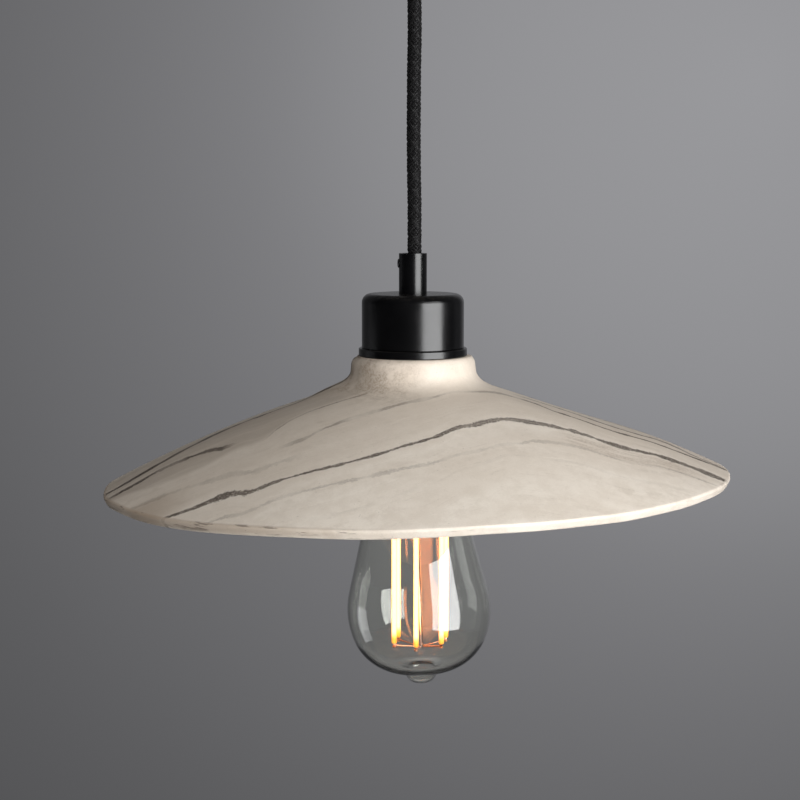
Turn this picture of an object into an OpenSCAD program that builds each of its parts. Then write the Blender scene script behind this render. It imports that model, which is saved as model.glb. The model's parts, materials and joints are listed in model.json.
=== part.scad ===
// Ceramic pendant light: ceiling cup, cloth-covered flex, metal lampholder,
// marbled ceramic shade and a long filament bulb. Millimetres, +Z up.
// The origin is the centre of the face that lies against the ceiling.

/* [Ceiling cup and bracket] */
// Outer diameter of the ceiling cup
cup_d = 100; // [96:1:120]
// Height of the ceiling cup
cup_h = 25; // [24:1:40]
// Sheet thickness of the cup
cup_wall = 1.2; // [0.8:0.1:2]
// Outer radius of the cup's rounded edge
cup_corner = 4; // [2:0.5:8]
// Width of the bracket's strap
strap_w = 20; // [19:1:30]
// Sheet thickness of the bracket
strap_t = 1.5; // [1:0.1:2]
// Width of the bracket's two tabs
tab_w = 14; // [10:1:18]
// How far the tabs reach down from the ceiling
tab_h = 15; // [13:1:20]
// Distance between the two fixing slots
slot_spacing = 60; // [58:1:62]
// Width of a fixing slot
slot_w = 4.5; // [3.5:0.5:6]
// Length of a fixing slot from end to end
slot_len = 14; // [8:1:14]
// Diameter of the hole for the supply cable
cable_hole_d = 12; // [8:1:12]
// Depth of the cup's side screws below the ceiling
side_screw_z = 9; // [7:0.5:10]
// Thread diameter of the cup's side screws
side_screw_d = 4; // [3:0.5:5]

/* [Terminals in the cup] */
// Length of the two-pole terminal block across its poles
block_l = 15; // [14:0.5:18]
// Width of the terminal block along its wires
block_w = 17; // [14:0.5:19]
// Height of the terminal block
block_h = 12; // [10:0.5:13]
// Distance between the two poles
pole_pitch = 7.5; // [7:0.25:8]
// Outer diameter of a brass terminal tube
pole_d = 4.8; // [4:0.1:5.2]
// Distance of the earth screw from the centre
earth_screw_x = 14; // [13:0.5:15]
// Thread diameter of the earth screw
earth_screw_d = 4; // [3:0.5:4.5]

/* [Cord grips] */
// Outer diameter of a cord grip
grip_d = 12.6; // [12:0.1:15]
// Height of a cord grip
grip_h = 18; // [14:0.5:24]
// Bore of a cord grip
grip_bore_d = 8.1; // [7.5:0.1:8.4]
// Diameter of a grip's hollow threaded shank
shank_d = 10; // [9.8:0.1:11]
// Width across the flats of the shank's nut
nut_af = 14; // [13:0.5:15]
// Height of the shank's nut
nut_h = 3; // [2:0.5:3.5]
// Thread diameter of the grub screw
grub_d = 4; // [3:0.5:5]
// Depth of the grub screw's centre below the grip's mouth
grub_depth = 4.5; // [4.5:0.5:8]
// How far the grub screw's domed head stands out
grub_stand = 0.7; // [0.4:0.1:1.5]

/* [Flex] */
// Diameter of the cloth-covered flex
flex_d = 6.5; // [6:0.1:7]
// Length of the flex between the two grips
flex_len = 126; // [100:1:2000]
// Diameter of one insulated core
core_d = 2.2; // [1.8:0.1:2.4]

/* [Lampholder] */
// Outer diameter of the lampholder's cap
cap_d = 46; // [45.5:0.1:48]
// Height of the cap
cap_h = 24.1; // [24:0.1:30]
// Outer radius of the cap's rounded top edge
cap_corner = 4; // [2:0.5:6]
// Wall thickness of the cap
cap_wall = 2.7; // [2.2:0.1:3]
// Radial depth of the cap's inner thread
cap_thread = 1.5; // [1:0.1:1.8]
// Width of the dark groove between cap and upper ring
groove_h = 0.3; // [0.2:0.1:0.8]
// Outer diameter of the upper ring, which sits on the shade
ring_d = 48.8; // [46.5:0.1:52]
// Height of the upper ring
ring_h = 3.6; // [2.5:0.1:5]
// Outer diameter of the threaded skirt
skirt_d = 39; // [38.6:0.1:40]
// Wall thickness of the threaded skirt
skirt_wall = 2; // [1.4:0.1:2.1]
// How far the skirt reaches below the upper ring
skirt_below = 29; // [26:0.5:31]
// Height of the skirt's collar, which screws into the cap
collar_h = 6; // [4:0.5:7]
// Height of the porcelain insert's flange
flange_h = 2.4; // [2:0.1:3]
// Depth of the holder's centre contact below the shade's seat
contact_depth = 6.7; // [2:0.1:7.5]
// Wall thickness of the porcelain round the screw shell
insert_wall = 2.7; // [2:0.1:2.8]
// Sheet thickness of the screw shell
shell_wall = 0.7; // [0.4:0.1:0.8]
// Height of the lower retaining ring
lower_ring_h = 6; // [4:0.5:7]
// Outer diameter of the lower retaining ring
lower_ring_d = 47; // [44:0.5:48]
// Thickness of the soft washer under the shade
washer_t = 1; // [0.5:0.1:1.5]

/* [Shade] */
// Radius of the rim's outer edge
shade_r = 140.8; // [120:0.1:160]
// Wall thickness of the ceramic where the roof starts
shade_wall = 5.4; // [4:0.1:7]
// Wall thickness of the ceramic at the rim
rim_wall = 4.4; // [3:0.1:6]
// Radius of the rim's two rounded edges
lip_round = 1.1; // [0.5:0.1:1.4]
// Outer radius of the neck at its top
neck_r = 25; // [24.6:0.1:26]
// Outer radius of the neck at its foot
neck_foot_r = 28.3; // [28:0.1:30]
// Height of the neck down to its foot
neck_h = 7.5; // [7:0.5:9]
// Thickness of the clay under the upper ring
neck_floor = 9; // [8:0.5:10]
// Diameter of the hole in the neck
shade_hole_d = 40.4; // [40:0.1:41.5]
// Radius at which the roof's curve starts
roof_start_r = 38; // [36:0.5:44]
// Depth of the roof's curve below the neck's top where it starts
roof_start_z = 14.8; // [14:0.1:17]
// Slope of the roof where it starts
roof_slope = 0.292; // [0.2:0.002:0.5]
// How fast the roof steepens towards the rim, per millimetre
roof_bow = 0.00098; // [0.0002:0.00001:0.0015]
// How far the ceramic's right side leans up, in degrees
shade_lean = 1.6; // [0:0.1:2.5]
// How far the ceramic's front leans up, in degrees
shade_tip = 0.5; // [0:0.1:1.5]

/* [Bulb] */
// Outer diameter of the bulb at its widest
bulb_d = 65.6; // [60:0.1:68]
// Distance from the bulb's contact to its widest place
bulb_wide_u = 109.6; // [100:0.1:120]
// Radius of the arc along the bulb's shoulder
shoulder_r = 36.4; // [32:0.1:42]
// Radius of the arc at the bulb's lower corner
corner_r = 24; // [16:0.5:26]
// Wall thickness of the glass
glass_wall = 0.9; // [0.6:0.1:1.2]
// Outer diameter of the bulb's screw cap
bulb_cap_d = 26; // [25.6:0.1:26.2]
// Length of the bulb's screw cap from contact to rim
bulb_cap_h = 26.5; // [25:0.5:27.5]
// Radius of the sealed tip under the bulb
tip_r = 7.3; // [5:0.1:8]
// How far the sealed tip stands out
tip_h = 5.1; // [3:0.1:6]
// How far the bulb's glass leans in its cap, in degrees
bulb_lean = 2; // [0:0.1:2.5]
// Length of one lit filament
filament_len = 65; // [50:1:70]
// Diameter of one lit filament
filament_d = 2.4; // [1:0.1:2.8]
// Radius of the ring of filaments
filament_ring_r = 12.5; // [9:0.1:14]
// Distance between the filaments' lower ends and the foot of the sealed tip
filament_gap = 14; // [8:0.1:18]

/* [Hidden] */
$fn = 96;
// Radial clearance of every screwed or turned fit
fit_gap = 0.1;
// Clearance between pieces that move past each other
run_gap = 0.3;

// Heights of the main faces, from the ceiling down
cup_floor_z = -cup_h;
cup_inside_z = cup_wall - cup_h;
rose_mouth_z = -cup_h - grip_h;
lamp_mouth_z = rose_mouth_z - flex_len;
cap_top_z = lamp_mouth_z - grip_h;
cap_ceiling_z = cap_top_z - cap_wall;
cap_bottom_z = cap_top_z - cap_h;
ring_top_z = cap_bottom_z - groove_h;
seat_z = ring_top_z - ring_h;
collar_top_z = ring_top_z + collar_h;
insert_top_z = collar_top_z + flange_h;
skirt_bottom_z = seat_z - skirt_below;
clamp_z = seat_z - neck_floor;
lower_ring_z = clamp_z - washer_t;

// The flex is pressed against one side of each grip by the grub screw
flex_x = (grip_bore_d - flex_d) / 2 - fit_gap;
// Depth in a grip's mouth about which the flex bends, and its greatest angle
bend_depth = 1.5;
bend_angle = 15;
mouth_r = flex_x + flex_d / 2 / cos(bend_angle) + bend_depth * tan(bend_angle) + run_gap;
mouth_depth = bend_depth + 1.2;
rose_pivot_z = rose_mouth_z + bend_depth;
lamp_pivot_z = lamp_mouth_z - bend_depth;
socket_r = flex_d / 2 + run_gap;
// Gentle bends of the hanging flex: share of its length, sideways shift
flex_bends = [[0.1, -0.1], [0.22, 0], [0.4, -0.3], [0.58, -0.4], [0.68, -0.3], [0.84, 0]];
flex_sides = 12;
// Angles of the rings of points on the flex's round ends
flex_end_angles = [80, 55, 28];

// Grip shank, washer and nut inside the cup, and the same inside the cap
grip_washer_t = 1;
shank_spare = 1;
rose_shank_h = cup_wall + grip_washer_t + nut_h + shank_spare;
rose_sheath_z = cup_floor_z + rose_shank_h + 1;
tag_t = 0.8;
lamp_shank_h = cap_wall + tag_t + nut_h + 0.6;
lamp_sheath_z = cap_top_z - lamp_shank_h - 0.6;
washer_out_r = nut_af / 2 + 1;
core_r = core_d / 2;
core_ring_r = 1.4;
wire_sides = 8;

// Bracket
cup_in_r = cup_d / 2 - cup_wall;
tab_face_x = sqrt(pow(cup_in_r, 2) - pow(tab_w / 2, 2)) - run_gap;
side_screw_r = side_screw_d / 2;
side_head_r = side_screw_r + 1.5;
side_head_h = 2.2;
strap_bottom_z = -strap_t;

// Terminal block, hung under the strap beside the cable hole
block_x = cable_hole_d / 2 + 1 + block_l / 2;
block_z = strap_bottom_z - block_h / 2;
pole_r = pole_d / 2;
pole_bore_r = pole_r - 0.8;
pole_len = block_w - 2;
clamp_screw_r = 1.3;
clamp_screw_y = 4;
earth_screw_r = earth_screw_d / 2;
tag_out_r = earth_screw_r + 2.2;
barrel_r = core_r + 0.6;
barrel_len = 5;
barrel_z = strap_bottom_z - barrel_r;
barrel_x = -earth_screw_x + tag_out_r;

// Lampholder
cap_r = cap_d / 2;
cap_in_r = cap_r - cap_wall;
cap_thread_r = cap_in_r + cap_thread;
collar_r = cap_thread_r - fit_gap;
skirt_r = skirt_d / 2;
skirt_in_r = skirt_r - skirt_wall;
insert_r = skirt_in_r - run_gap;
insert_in_r = insert_r - insert_wall;
shell_r = insert_in_r - fit_gap;
shell_in_r = shell_r - shell_wall;
flange_r = collar_r - 0.4;
bulb_contact_z = seat_z - contact_depth;
// Porcelain floor over the centre contact, which has room to spring up
contact_t = 0.6;
contact_room = 1;
insert_floor_z = bulb_contact_z + contact_t + contact_room;
bulb_cap_showing = 6;
insert_bottom_z = bulb_contact_z - bulb_cap_h + bulb_cap_showing;
shell_bottom_z = insert_bottom_z + 1;
contact_w = 5;
contact_foot_x = -9;
contact_toe_x = 4;
contact_foot_len = 3;
contact_flat_x = -2;
toe_rise = 0.2;
// Brass wire terminals on top of the porcelain
term_l = 5;
term_w = 6;
term_h = 4.6;
live_x = contact_foot_x + 1.5;
neutral_x = (shell_r + shell_in_r) / 2;
neutral_block_x = neutral_x - 1;
live_stud_r = 1.4;
neutral_stud_r = 1;
term_bore_r = core_r + 0.1;
term_bore_h = 3.5;
term_screw_r = 1.2;
lamp_barrel_y = washer_out_r + 0.4;
lamp_barrel_z = cap_ceiling_z - barrel_r;

// Shade
hole_r = shade_hole_d / 2;
lower_ring_r = lower_ring_d / 2;
pocket_r = lower_ring_r + 2.3;
roof_points = 20;
rim_angle = atan(roof_slope + 2 * roof_bow * (shade_r - roof_start_r));
roof_end_r = shade_r - lip_round;
fillet_r = neck_foot_r + 0.9;
fillet_z = roof_start_z - roof_slope * (roof_start_r - fillet_r);

// Bulb, drawn hanging down from its contact
bulb_r = bulb_d / 2;
shoulder_cx = bulb_r - shoulder_r;
shoulder_top_a = 14;
shoulder_low_a = 22;
corner_end_a = 83;
corner_cx = shoulder_cx + (shoulder_r - corner_r) * cos(shoulder_low_a);
corner_cu = bulb_wide_u + (shoulder_r - corner_r) * sin(shoulder_low_a);
bulb_neck_u = bulb_cap_h + 4;
bulb_cap_r = bulb_cap_d / 2;
bulb_cap_wall = 0.4;
bulb_mouth_r = bulb_cap_r - bulb_cap_wall - run_gap;
seal_u = 20;
tip_top_u = corner_cu + corner_r + 0.4;
tip_start_a = 15;
filament_end_u = tip_top_u - filament_gap;
insulator_r = 10.6;
insulator_h = 5;
bulb_contact_r = 4.8;
bulb_contact_h = 1.6;
stem_flare_u = seal_u + 1;
press_u = 46;
rod_r = 1.5;
rod_end_u = filament_end_u + 3.5;
lead_u = press_u + 4;
wire_r = 0.35;
board_w = 16;
board_h = 12.5;
// Bearings of the six filaments, seen from below
filament_angles = [198, 261, 320, 18, 98, 144];

// Points on an arc round a centre, from one angle to another
function arc(centre, r, from, to, steps) =
    [for (i = [0:steps]) let (a = from + (to - from) * i / steps)
        [centre[0] + r * cos(a), centre[1] + r * sin(a)]];

// Points on a curve pulled towards a middle point
function pulled(a, mid, b, steps) =
    [for (i = [0:steps]) let (t = i / steps)
        a * pow(1 - t, 2) + mid * 2 * t * (1 - t) + b * pow(t, 2)];

function unit(v) = v / norm(v);

// A smooth line through hand-placed points
function smooth_point(a, b, c, d, t) =
    0.5 * (2 * b + (c - a) * t + (2 * a - 5 * b + 4 * c - d) * pow(t, 2)
        + (3 * b - a - 3 * c + d) * pow(t, 3));
function smooth(p, steps) = [
    for (i = [0:len(p) - 2]) for (k = [0:steps - 1])
        smooth_point(p[max(i - 1, 0)], p[i], p[i + 1], p[min(i + 2, len(p) - 1)], k / steps),
    p[len(p) - 1]
];
function heading(p, i) = unit(p[min(i + 1, len(p) - 1)] - p[max(i - 1, 0)]);

// A tube swept along a path, with one radius per point; side is any
// direction that the path never follows
module swept_tube(path, radii, sides, side) {
    rings = len(path);
    points = [
        for (i = [0:rings - 1])
            let (t = heading(path, i), u = unit(cross(side, t)), v = cross(t, u))
            for (k = [0:sides - 1]) let (a = 360 * k / sides)
                path[i] + radii[i] * (u * cos(a) + v * sin(a))
    ];
    walls = [
        for (i = [0:rings - 2]) for (k = [0:sides - 1])
            let (a = i * sides + k, b = i * sides + (k + 1) % sides)
            each [[a, a + sides, b], [b, a + sides, b + sides]]
    ];
    first_cap = [for (k = [1:sides - 2]) [0, k, k + 1]];
    last = (rings - 1) * sides;
    last_cap = [for (k = [1:sides - 2]) [last, last + k + 1, last + k]];
    polyhedron(points, concat(walls, first_cap, last_cap));
}

module wire(path, r, side) {
    swept_tube(path, [for (p = path) r], wire_sides, side);
}

// A curved run of insulated core through hand-placed points, with its
// first and last stretch straight
module core(points, side) {
    last = len(points) - 1;
    bends = [for (i = [1:last - 1]) points[i]];
    wire(concat([points[0]], smooth(bends, 3), [points[last]]), core_r, side);
}

// Where a core leaves the end of the flex, by its bearing
function core_start(bearing, z) =
    [flex_x + core_ring_r * cos(bearing), core_ring_r * sin(bearing), z];

module slot(len, width, height) {
    translate([0, 0, height / 2])
        cube([len - width, width, height], center = true);
    for (s = [-1, 1])
        translate([s * (len - width) / 2, 0, 0])
            cylinder(d = width, h = height);
}

// A screw with its domed head above z = 0 and its shank below
module domed_screw(shank_r, shank_l, head_r, head_h) {
    dome_r = (pow(head_r, 2) + pow(head_h, 2)) / (2 * head_h);
    intersection() {
        translate([0, 0, head_h - dome_r])
            sphere(r = dome_r);
        cylinder(r = head_r, h = head_h);
    }
    translate([0, 0, -shank_l])
        cylinder(r = shank_r, h = shank_l);
}

module hex_nut(af, height, bore_r) {
    difference() {
        rotate([0, 0, 30])
            cylinder(d = af / cos(30), h = height, $fn = 6);
        translate([0, 0, -1])
            cylinder(r = bore_r, h = height + 2);
    }
}

// A ring terminal with its plate under z = 0 and its barrel along +X
module ring_tag(hole_r, out_r, barrel_start) {
    difference() {
        union() {
            translate([0, 0, -tag_t])
                cylinder(r = out_r, h = tag_t);
            translate([0, -barrel_r, -tag_t])
                cube([barrel_start + 0.5, 2 * barrel_r, tag_t]);
            translate([barrel_start, 0, -barrel_r])
                rotate([0, 90, 0])
                    cylinder(r = barrel_r, h = barrel_len);
        }
        translate([0, 0, -2 * tag_t])
            cylinder(r = hole_r, h = 3 * tag_t);
        translate([barrel_start + 0.6, 0, -barrel_r])
            rotate([0, 90, 0])
                cylinder(r = core_r + fit_gap / 2, h = barrel_len);
    }
}

// A cord grip with its mouth at z = 0 looking down and its shank on top
module cord_grip(shank_h) {
    difference() {
        union() {
            cylinder(d = grip_d, h = grip_h);
            translate([0, 0, grip_h])
                cylinder(d = shank_d, h = shank_h);
        }
        translate([0, 0, -1])
            cylinder(d = grip_bore_d, h = grip_h + shank_h + 2);
        translate([0, 0, -1])
            cylinder(r = mouth_r, h = 1);
        cylinder(r1 = mouth_r, r2 = grip_bore_d / 2, h = mouth_depth);
        translate([0, 0, grub_depth])
            rotate([0, -90, 0])
                cylinder(r = grub_d / 2 + fit_gap, h = grip_d);
    }
}

// The grub screw of that grip, pressing the flex from the left
module grip_grub_screw() {
    tip_x = flex_d / 2 - flex_x + fit_gap;
    grub_r = grub_d / 2;
    translate([-grip_d / 2 + 0.3, 0, grub_depth])
        rotate([0, -90, 0])
            domed_screw(grub_r, grip_d / 2 - 0.3 - tip_x, grub_r, grub_stand + 0.3);
}

// The held end of the flex, with a hollow that the free flex rolls in
module held_flex(length) {
    difference() {
        translate([flex_x, 0, bend_depth])
            cylinder(d = flex_d, h = length);
        translate([flex_x, 0, bend_depth])
            sphere(r = socket_r);
    }
}

module ceiling_bracket() {
    color("gainsboro")
    difference() {
        union() {
            translate([-tab_face_x, -strap_w / 2, -strap_t])
                cube([2 * tab_face_x, strap_w, strap_t]);
            for (s = [-1, 1])
                translate([s * (tab_face_x - strap_t / 2), 0, -tab_h / 2])
                    cube([strap_t, tab_w, tab_h], center = true);
        }
        for (s = [-1, 1])
            translate([s * slot_spacing / 2, 0, -2 * strap_t])
                slot(slot_len, slot_w, 3 * strap_t);
        translate([0, 0, -2 * strap_t])
            cylinder(d = cable_hole_d, h = 3 * strap_t);
        translate([-earth_screw_x, 0, -2 * strap_t])
            cylinder(r = earth_screw_r + fit_gap, h = 3 * strap_t);
        for (s = [0, 180])
            rotate([0, 0, s])
                translate([tab_face_x - 2 * strap_t, 0, -side_screw_z])
                    rotate([0, 90, 0])
                        cylinder(r = side_screw_r + fit_gap, h = 3 * strap_t);
        for (s = [-1, 1])
            translate([s * cup_in_r, 0, -strap_t / 2])
                difference() {
                    cube([strap_w, strap_w + 2, 2 * strap_t], center = true);
                    translate([-s * cup_in_r, 0, -2 * strap_t])
                        cylinder(r = cup_in_r - run_gap, h = 4 * strap_t);
                }
    }
}

module earth_terminal_screw() {
    color("gold")
    translate([-earth_screw_x, 0, strap_bottom_z - tag_t])
        mirror([0, 0, 1])
            domed_screw(earth_screw_r, strap_t + tag_t, earth_screw_r + 1.8, 2);
}

module rose_earth_tag() {
    color("gold")
    translate([-earth_screw_x, 0, strap_bottom_z])
        ring_tag(earth_screw_r + fit_gap, tag_out_r, tag_out_r);
}

module terminal_block() {
    color("ivory")
    translate([block_x, 0, block_z])
        difference() {
            union() {
                for (s = [-1, 1])
                    translate([s * pole_pitch / 2, 0, 0])
                        cube([block_l - pole_pitch, block_w, block_h], center = true);
                translate([0, 0, block_h / 4])
                    cube([block_l, block_w - 3, block_h / 2], center = true);
            }
            for (s = [-1, 1])
                translate([s * pole_pitch / 2, 0, 0]) {
                    rotate([90, 0, 0])
                        cylinder(r = pole_r + fit_gap, h = block_w + 2, center = true);
                    for (e = [-1, 1])
                        translate([0, e * clamp_screw_y, -block_h])
                            cylinder(r = clamp_screw_r + 0.5, h = block_h);
                }
        }
}

module terminal_tubes() {
    color("goldenrod")
    for (s = [-1, 1])
        translate([block_x + s * pole_pitch / 2, 0, block_z])
            difference() {
                rotate([90, 0, 0])
                    cylinder(r = pole_r, h = pole_len, center = true);
                rotate([90, 0, 0])
                    cylinder(r = pole_bore_r, h = pole_len + 2, center = true);
                for (e = [-1, 1])
                    translate([0, e * clamp_screw_y, -pole_d])
                        cylinder(r = clamp_screw_r + fit_gap, h = pole_d);
            }
}

module terminal_clamp_screws() {
    color("silver")
    for (s = [-1, 1])
        for (e = [-1, 1])
            translate([block_x + s * pole_pitch / 2, e * clamp_screw_y, block_z - pole_r - 2])
                cylinder(r = clamp_screw_r, h = pole_r + 2 - core_r - fit_gap);
}

module ceiling_cup() {
    color("black")
    difference() {
        rotate_extrude()
            polygon(concat(
                [[0, -cup_h]],
                arc([cup_d / 2 - cup_corner, cup_corner - cup_h], cup_corner, -90, 0, 8),
                [[cup_d / 2, 0], [cup_in_r, 0]],
                arc([cup_d / 2 - cup_corner, cup_corner - cup_h], cup_corner - cup_wall, 0, -90, 8),
                [[0, cup_inside_z]]
            ));
        translate([0, 0, -cup_h - 1])
            cylinder(r = shank_d / 2 + fit_gap, h = cup_wall + 2);
        for (s = [0, 180])
            rotate([0, 0, s])
                translate([cup_in_r - 2, 0, -side_screw_z])
                    rotate([0, 90, 0])
                        cylinder(r = side_screw_r + fit_gap, h = cup_wall + 4);
    }
}

module cup_side_screws() {
    color("dimgray")
    for (s = [0, 180])
        rotate([0, 0, s])
            translate([cup_d / 2, 0, -side_screw_z])
                rotate([0, 90, 0])
                    domed_screw(side_screw_r, cup_d / 2 - tab_face_x + strap_t, side_head_r,
                        side_head_h);
}

module rose_cord_grip() {
    color("black")
    translate([0, 0, rose_mouth_z])
        cord_grip(rose_shank_h);
}

module rose_grip_washer() {
    color("silver")
    translate([0, 0, cup_inside_z])
        difference() {
            cylinder(r = washer_out_r, h = grip_washer_t);
            translate([0, 0, -1])
                cylinder(r = shank_d / 2 + fit_gap, h = grip_washer_t + 2);
        }
}

module rose_grip_nut() {
    color("silver")
    translate([0, 0, cup_inside_z + grip_washer_t])
        hex_nut(nut_af, nut_h, shank_d / 2 + fit_gap);
}

module rose_grip_screw() {
    color("black")
    translate([0, 0, rose_mouth_z])
        grip_grub_screw();
}

module rose_flex_end() {
    color("black")
    translate([0, 0, rose_mouth_z])
        held_flex(rose_sheath_z - rose_mouth_z - bend_depth);
}

module rose_live_core() {
    color("saddlebrown")
    core([
        core_start(60, rose_sheath_z),
        core_start(60, rose_sheath_z + 0.6),
        core_start(60, rose_sheath_z + 1.2) + [0.8, 0, 0.6],
        [7, -0.5, rose_sheath_z + 2.5],
        [13, -4, rose_sheath_z + 2.5],
        [block_x + 3, -block_w / 2 - 1.5, rose_sheath_z + 3],
        [block_x + pole_pitch / 2, -block_w / 2 - 5.5, block_z - 3.5],
        [block_x + pole_pitch / 2, -block_w / 2 - 4, block_z - 0.5],
        [block_x + pole_pitch / 2, -block_w / 2 - 2, block_z],
        [block_x + pole_pitch / 2, -block_w / 2 - 0.5, block_z],
        [block_x + pole_pitch / 2, -2, block_z]
    ], [-0.2, 0.3, 1]);
}

module rose_neutral_core() {
    color("royalblue")
    core([
        core_start(-60, rose_sheath_z),
        core_start(-60, rose_sheath_z + 0.6),
        [2.2, -3, rose_sheath_z + 2.6],
        [4, -8, rose_sheath_z + 5],
        [6.5, -12.5, rose_sheath_z + 8],
        [block_x - pole_pitch / 2 - 1, -block_w / 2 - 5, block_z - 0.4],
        [block_x - pole_pitch / 2, -block_w / 2 - 2.4, block_z],
        [block_x - pole_pitch / 2, -block_w / 2 - 0.5, block_z],
        [block_x - pole_pitch / 2, -2, block_z]
    ], [-0.2, 0.3, 1]);
}

module rose_earth_core() {
    color("yellowgreen")
    core([
        core_start(180, rose_sheath_z),
        core_start(180, rose_sheath_z + 1.5),
        core_start(180, rose_sheath_z + 5),
        [-0.9, 0, barrel_z - 4],
        [barrel_x + barrel_len + 2.6, 0, barrel_z - 0.6],
        [barrel_x + barrel_len + 0.5, 0, barrel_z],
        [barrel_x + 1, 0, barrel_z]
    ], [0, 1, 0]);
}

module flex() {
    color("black")
    swept_tube(
        [for (p = flex_path()) p[0]],
        [for (p = flex_path()) p[1]],
        flex_sides, [0, 1, 0]
    );
}

// The free flex as points with radii: a round end, the hanging run and
// another round end
function flex_path() = let (
        r = flex_d / 2,
        top = [flex_x, 0, rose_pivot_z],
        low = [flex_x, 0, lamp_pivot_z],
        run = rose_mouth_z - lamp_mouth_z
    ) concat(
        [for (a = flex_end_angles) [top + [0, 0, r * sin(a)], r * cos(a)]],
        [[top, r]],
        [for (b = flex_bends) [[flex_x + b[1], 0, rose_mouth_z - b[0] * run], r]],
        [[low, r]],
        [for (i = [len(flex_end_angles) - 1:-1:0]) let (a = flex_end_angles[i])
            [low - [0, 0, r * sin(a)], r * cos(a)]]
    );

module lamp_flex_end() {
    color("black")
    translate([0, 0, lamp_mouth_z])
        mirror([0, 0, 1])
            held_flex(lamp_mouth_z - bend_depth - lamp_sheath_z);
}

module lamp_cord_grip() {
    color("black")
    translate([0, 0, lamp_mouth_z])
        mirror([0, 0, 1])
            cord_grip(lamp_shank_h);
}

module lamp_grip_screw() {
    color("black")
    translate([0, 0, lamp_mouth_z])
        mirror([0, 0, 1])
            grip_grub_screw();
}

module lamp_earth_tag() {
    color("gold")
    translate([0, 0, cap_ceiling_z])
        rotate([0, 0, -90])
            ring_tag(shank_d / 2 + fit_gap, washer_out_r - 0.5, lamp_barrel_y);
}

module lamp_grip_nut() {
    color("silver")
    translate([0, 0, cap_ceiling_z - tag_t - nut_h])
        hex_nut(nut_af, nut_h, shank_d / 2 + fit_gap);
}

module lamp_live_core() {
    color("saddlebrown")
    core([
        core_start(180, lamp_sheath_z),
        core_start(180, lamp_sheath_z - 0.5),
        [-1.6, 0.8, lamp_sheath_z - 2],
        [-4.2, 4.2, lamp_sheath_z - 2.6],
        [-8, 6.6, lamp_sheath_z - 1.6],
        [live_x - 3, 4.2, lamp_sheath_z - 0.6],
        [live_x - 1.6, 1.4, lamp_sheath_z - 1.2],
        [live_x, 0, insert_top_z + term_h + 0.4],
        [live_x, 0, insert_top_z + term_h - term_bore_h + 0.2]
    ], [1, -0.3, 0.2]);
}

module lamp_neutral_core() {
    color("royalblue")
    core([
        core_start(60, lamp_sheath_z),
        core_start(60, lamp_sheath_z - 0.5),
        [2.2, 2.4, lamp_sheath_z - 2],
        [5, 6, lamp_sheath_z - 2.6],
        [9.5, 7.4, lamp_sheath_z - 1.6],
        [neutral_block_x + 1.2, 5, lamp_sheath_z - 0.6],
        [neutral_block_x + 1, 1.6, lamp_sheath_z - 1.2],
        [neutral_block_x, 0, insert_top_z + term_h + 0.4],
        [neutral_block_x, 0, insert_top_z + term_h - term_bore_h + 0.2]
    ], [-1, -0.3, 0.2]);
}

module lamp_earth_core() {
    color("yellowgreen")
    core([
        core_start(-60, lamp_sheath_z),
        core_start(-60, lamp_sheath_z - 0.5),
        [1.8, -2.8, lamp_sheath_z - 2.2],
        [1.8, -7, lamp_sheath_z - 3],
        [1.2, -12, lamp_sheath_z - 2.4],
        [0.5, -lamp_barrel_y - barrel_len - 3, lamp_sheath_z - 0.2],
        [0.1, -lamp_barrel_y - barrel_len - 3, lamp_barrel_z - 1.8],
        [0, -lamp_barrel_y - barrel_len - 2, lamp_barrel_z - 0.2],
        [0, -lamp_barrel_y - barrel_len - 0.5, lamp_barrel_z],
        [0, -lamp_barrel_y - 1, lamp_barrel_z]
    ], [1, 0, 0]);
}

module lampholder_cap() {
    color("black")
    difference() {
        rotate_extrude()
            polygon(concat(
                [[0, cap_ceiling_z], [0, cap_top_z]],
                arc([cap_r - cap_corner, cap_top_z - cap_corner], cap_corner, 90, 0, 8),
                [[cap_r, cap_bottom_z], [cap_thread_r, cap_bottom_z],
                    [cap_thread_r, insert_top_z], [cap_in_r, insert_top_z],
                    [cap_in_r, cap_ceiling_z - 1.3], [cap_in_r - 1.3, cap_ceiling_z]]
            ));
        translate([0, 0, cap_ceiling_z - 1])
            cylinder(r = shank_d / 2 + fit_gap, h = cap_wall + 2);
    }
}

module upper_ring() {
    color("black")
    translate([0, 0, seat_z])
        difference() {
            rotate_extrude()
                polygon([
                    [0, 0], [ring_d / 2 - 0.4, 0], [ring_d / 2, 0.4],
                    [ring_d / 2, ring_h - 0.4], [ring_d / 2 - 0.4, ring_h], [0, ring_h]
                ]);
            translate([0, 0, -1])
                cylinder(r = skirt_r + fit_gap, h = ring_h + 2);
        }
}

module threaded_skirt() {
    color("black")
    difference() {
        union() {
            translate([0, 0, skirt_bottom_z])
                cylinder(r = skirt_r, h = collar_top_z - skirt_bottom_z);
            translate([0, 0, ring_top_z])
                cylinder(r = collar_r, h = collar_h);
        }
        translate([0, 0, skirt_bottom_z - 1])
            cylinder(r = skirt_in_r, h = collar_top_z - skirt_bottom_z + 2);
    }
}

module porcelain_insert() {
    color("white")
    difference() {
        union() {
            translate([0, 0, collar_top_z])
                cylinder(r = flange_r, h = flange_h);
            translate([0, 0, insert_bottom_z])
                cylinder(r = insert_r, h = collar_top_z - insert_bottom_z);
        }
        translate([0, 0, insert_bottom_z - 1])
            cylinder(r = insert_in_r, h = insert_floor_z - insert_bottom_z + 1);
        translate([live_x, 0, insert_floor_z - 1])
            cylinder(r = live_stud_r + fit_gap, h = insert_top_z - insert_floor_z + 2);
        translate([neutral_x, 0, insert_floor_z - 1])
            cylinder(r = neutral_stud_r + fit_gap, h = insert_top_z - insert_floor_z + 2);
    }
}

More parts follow.
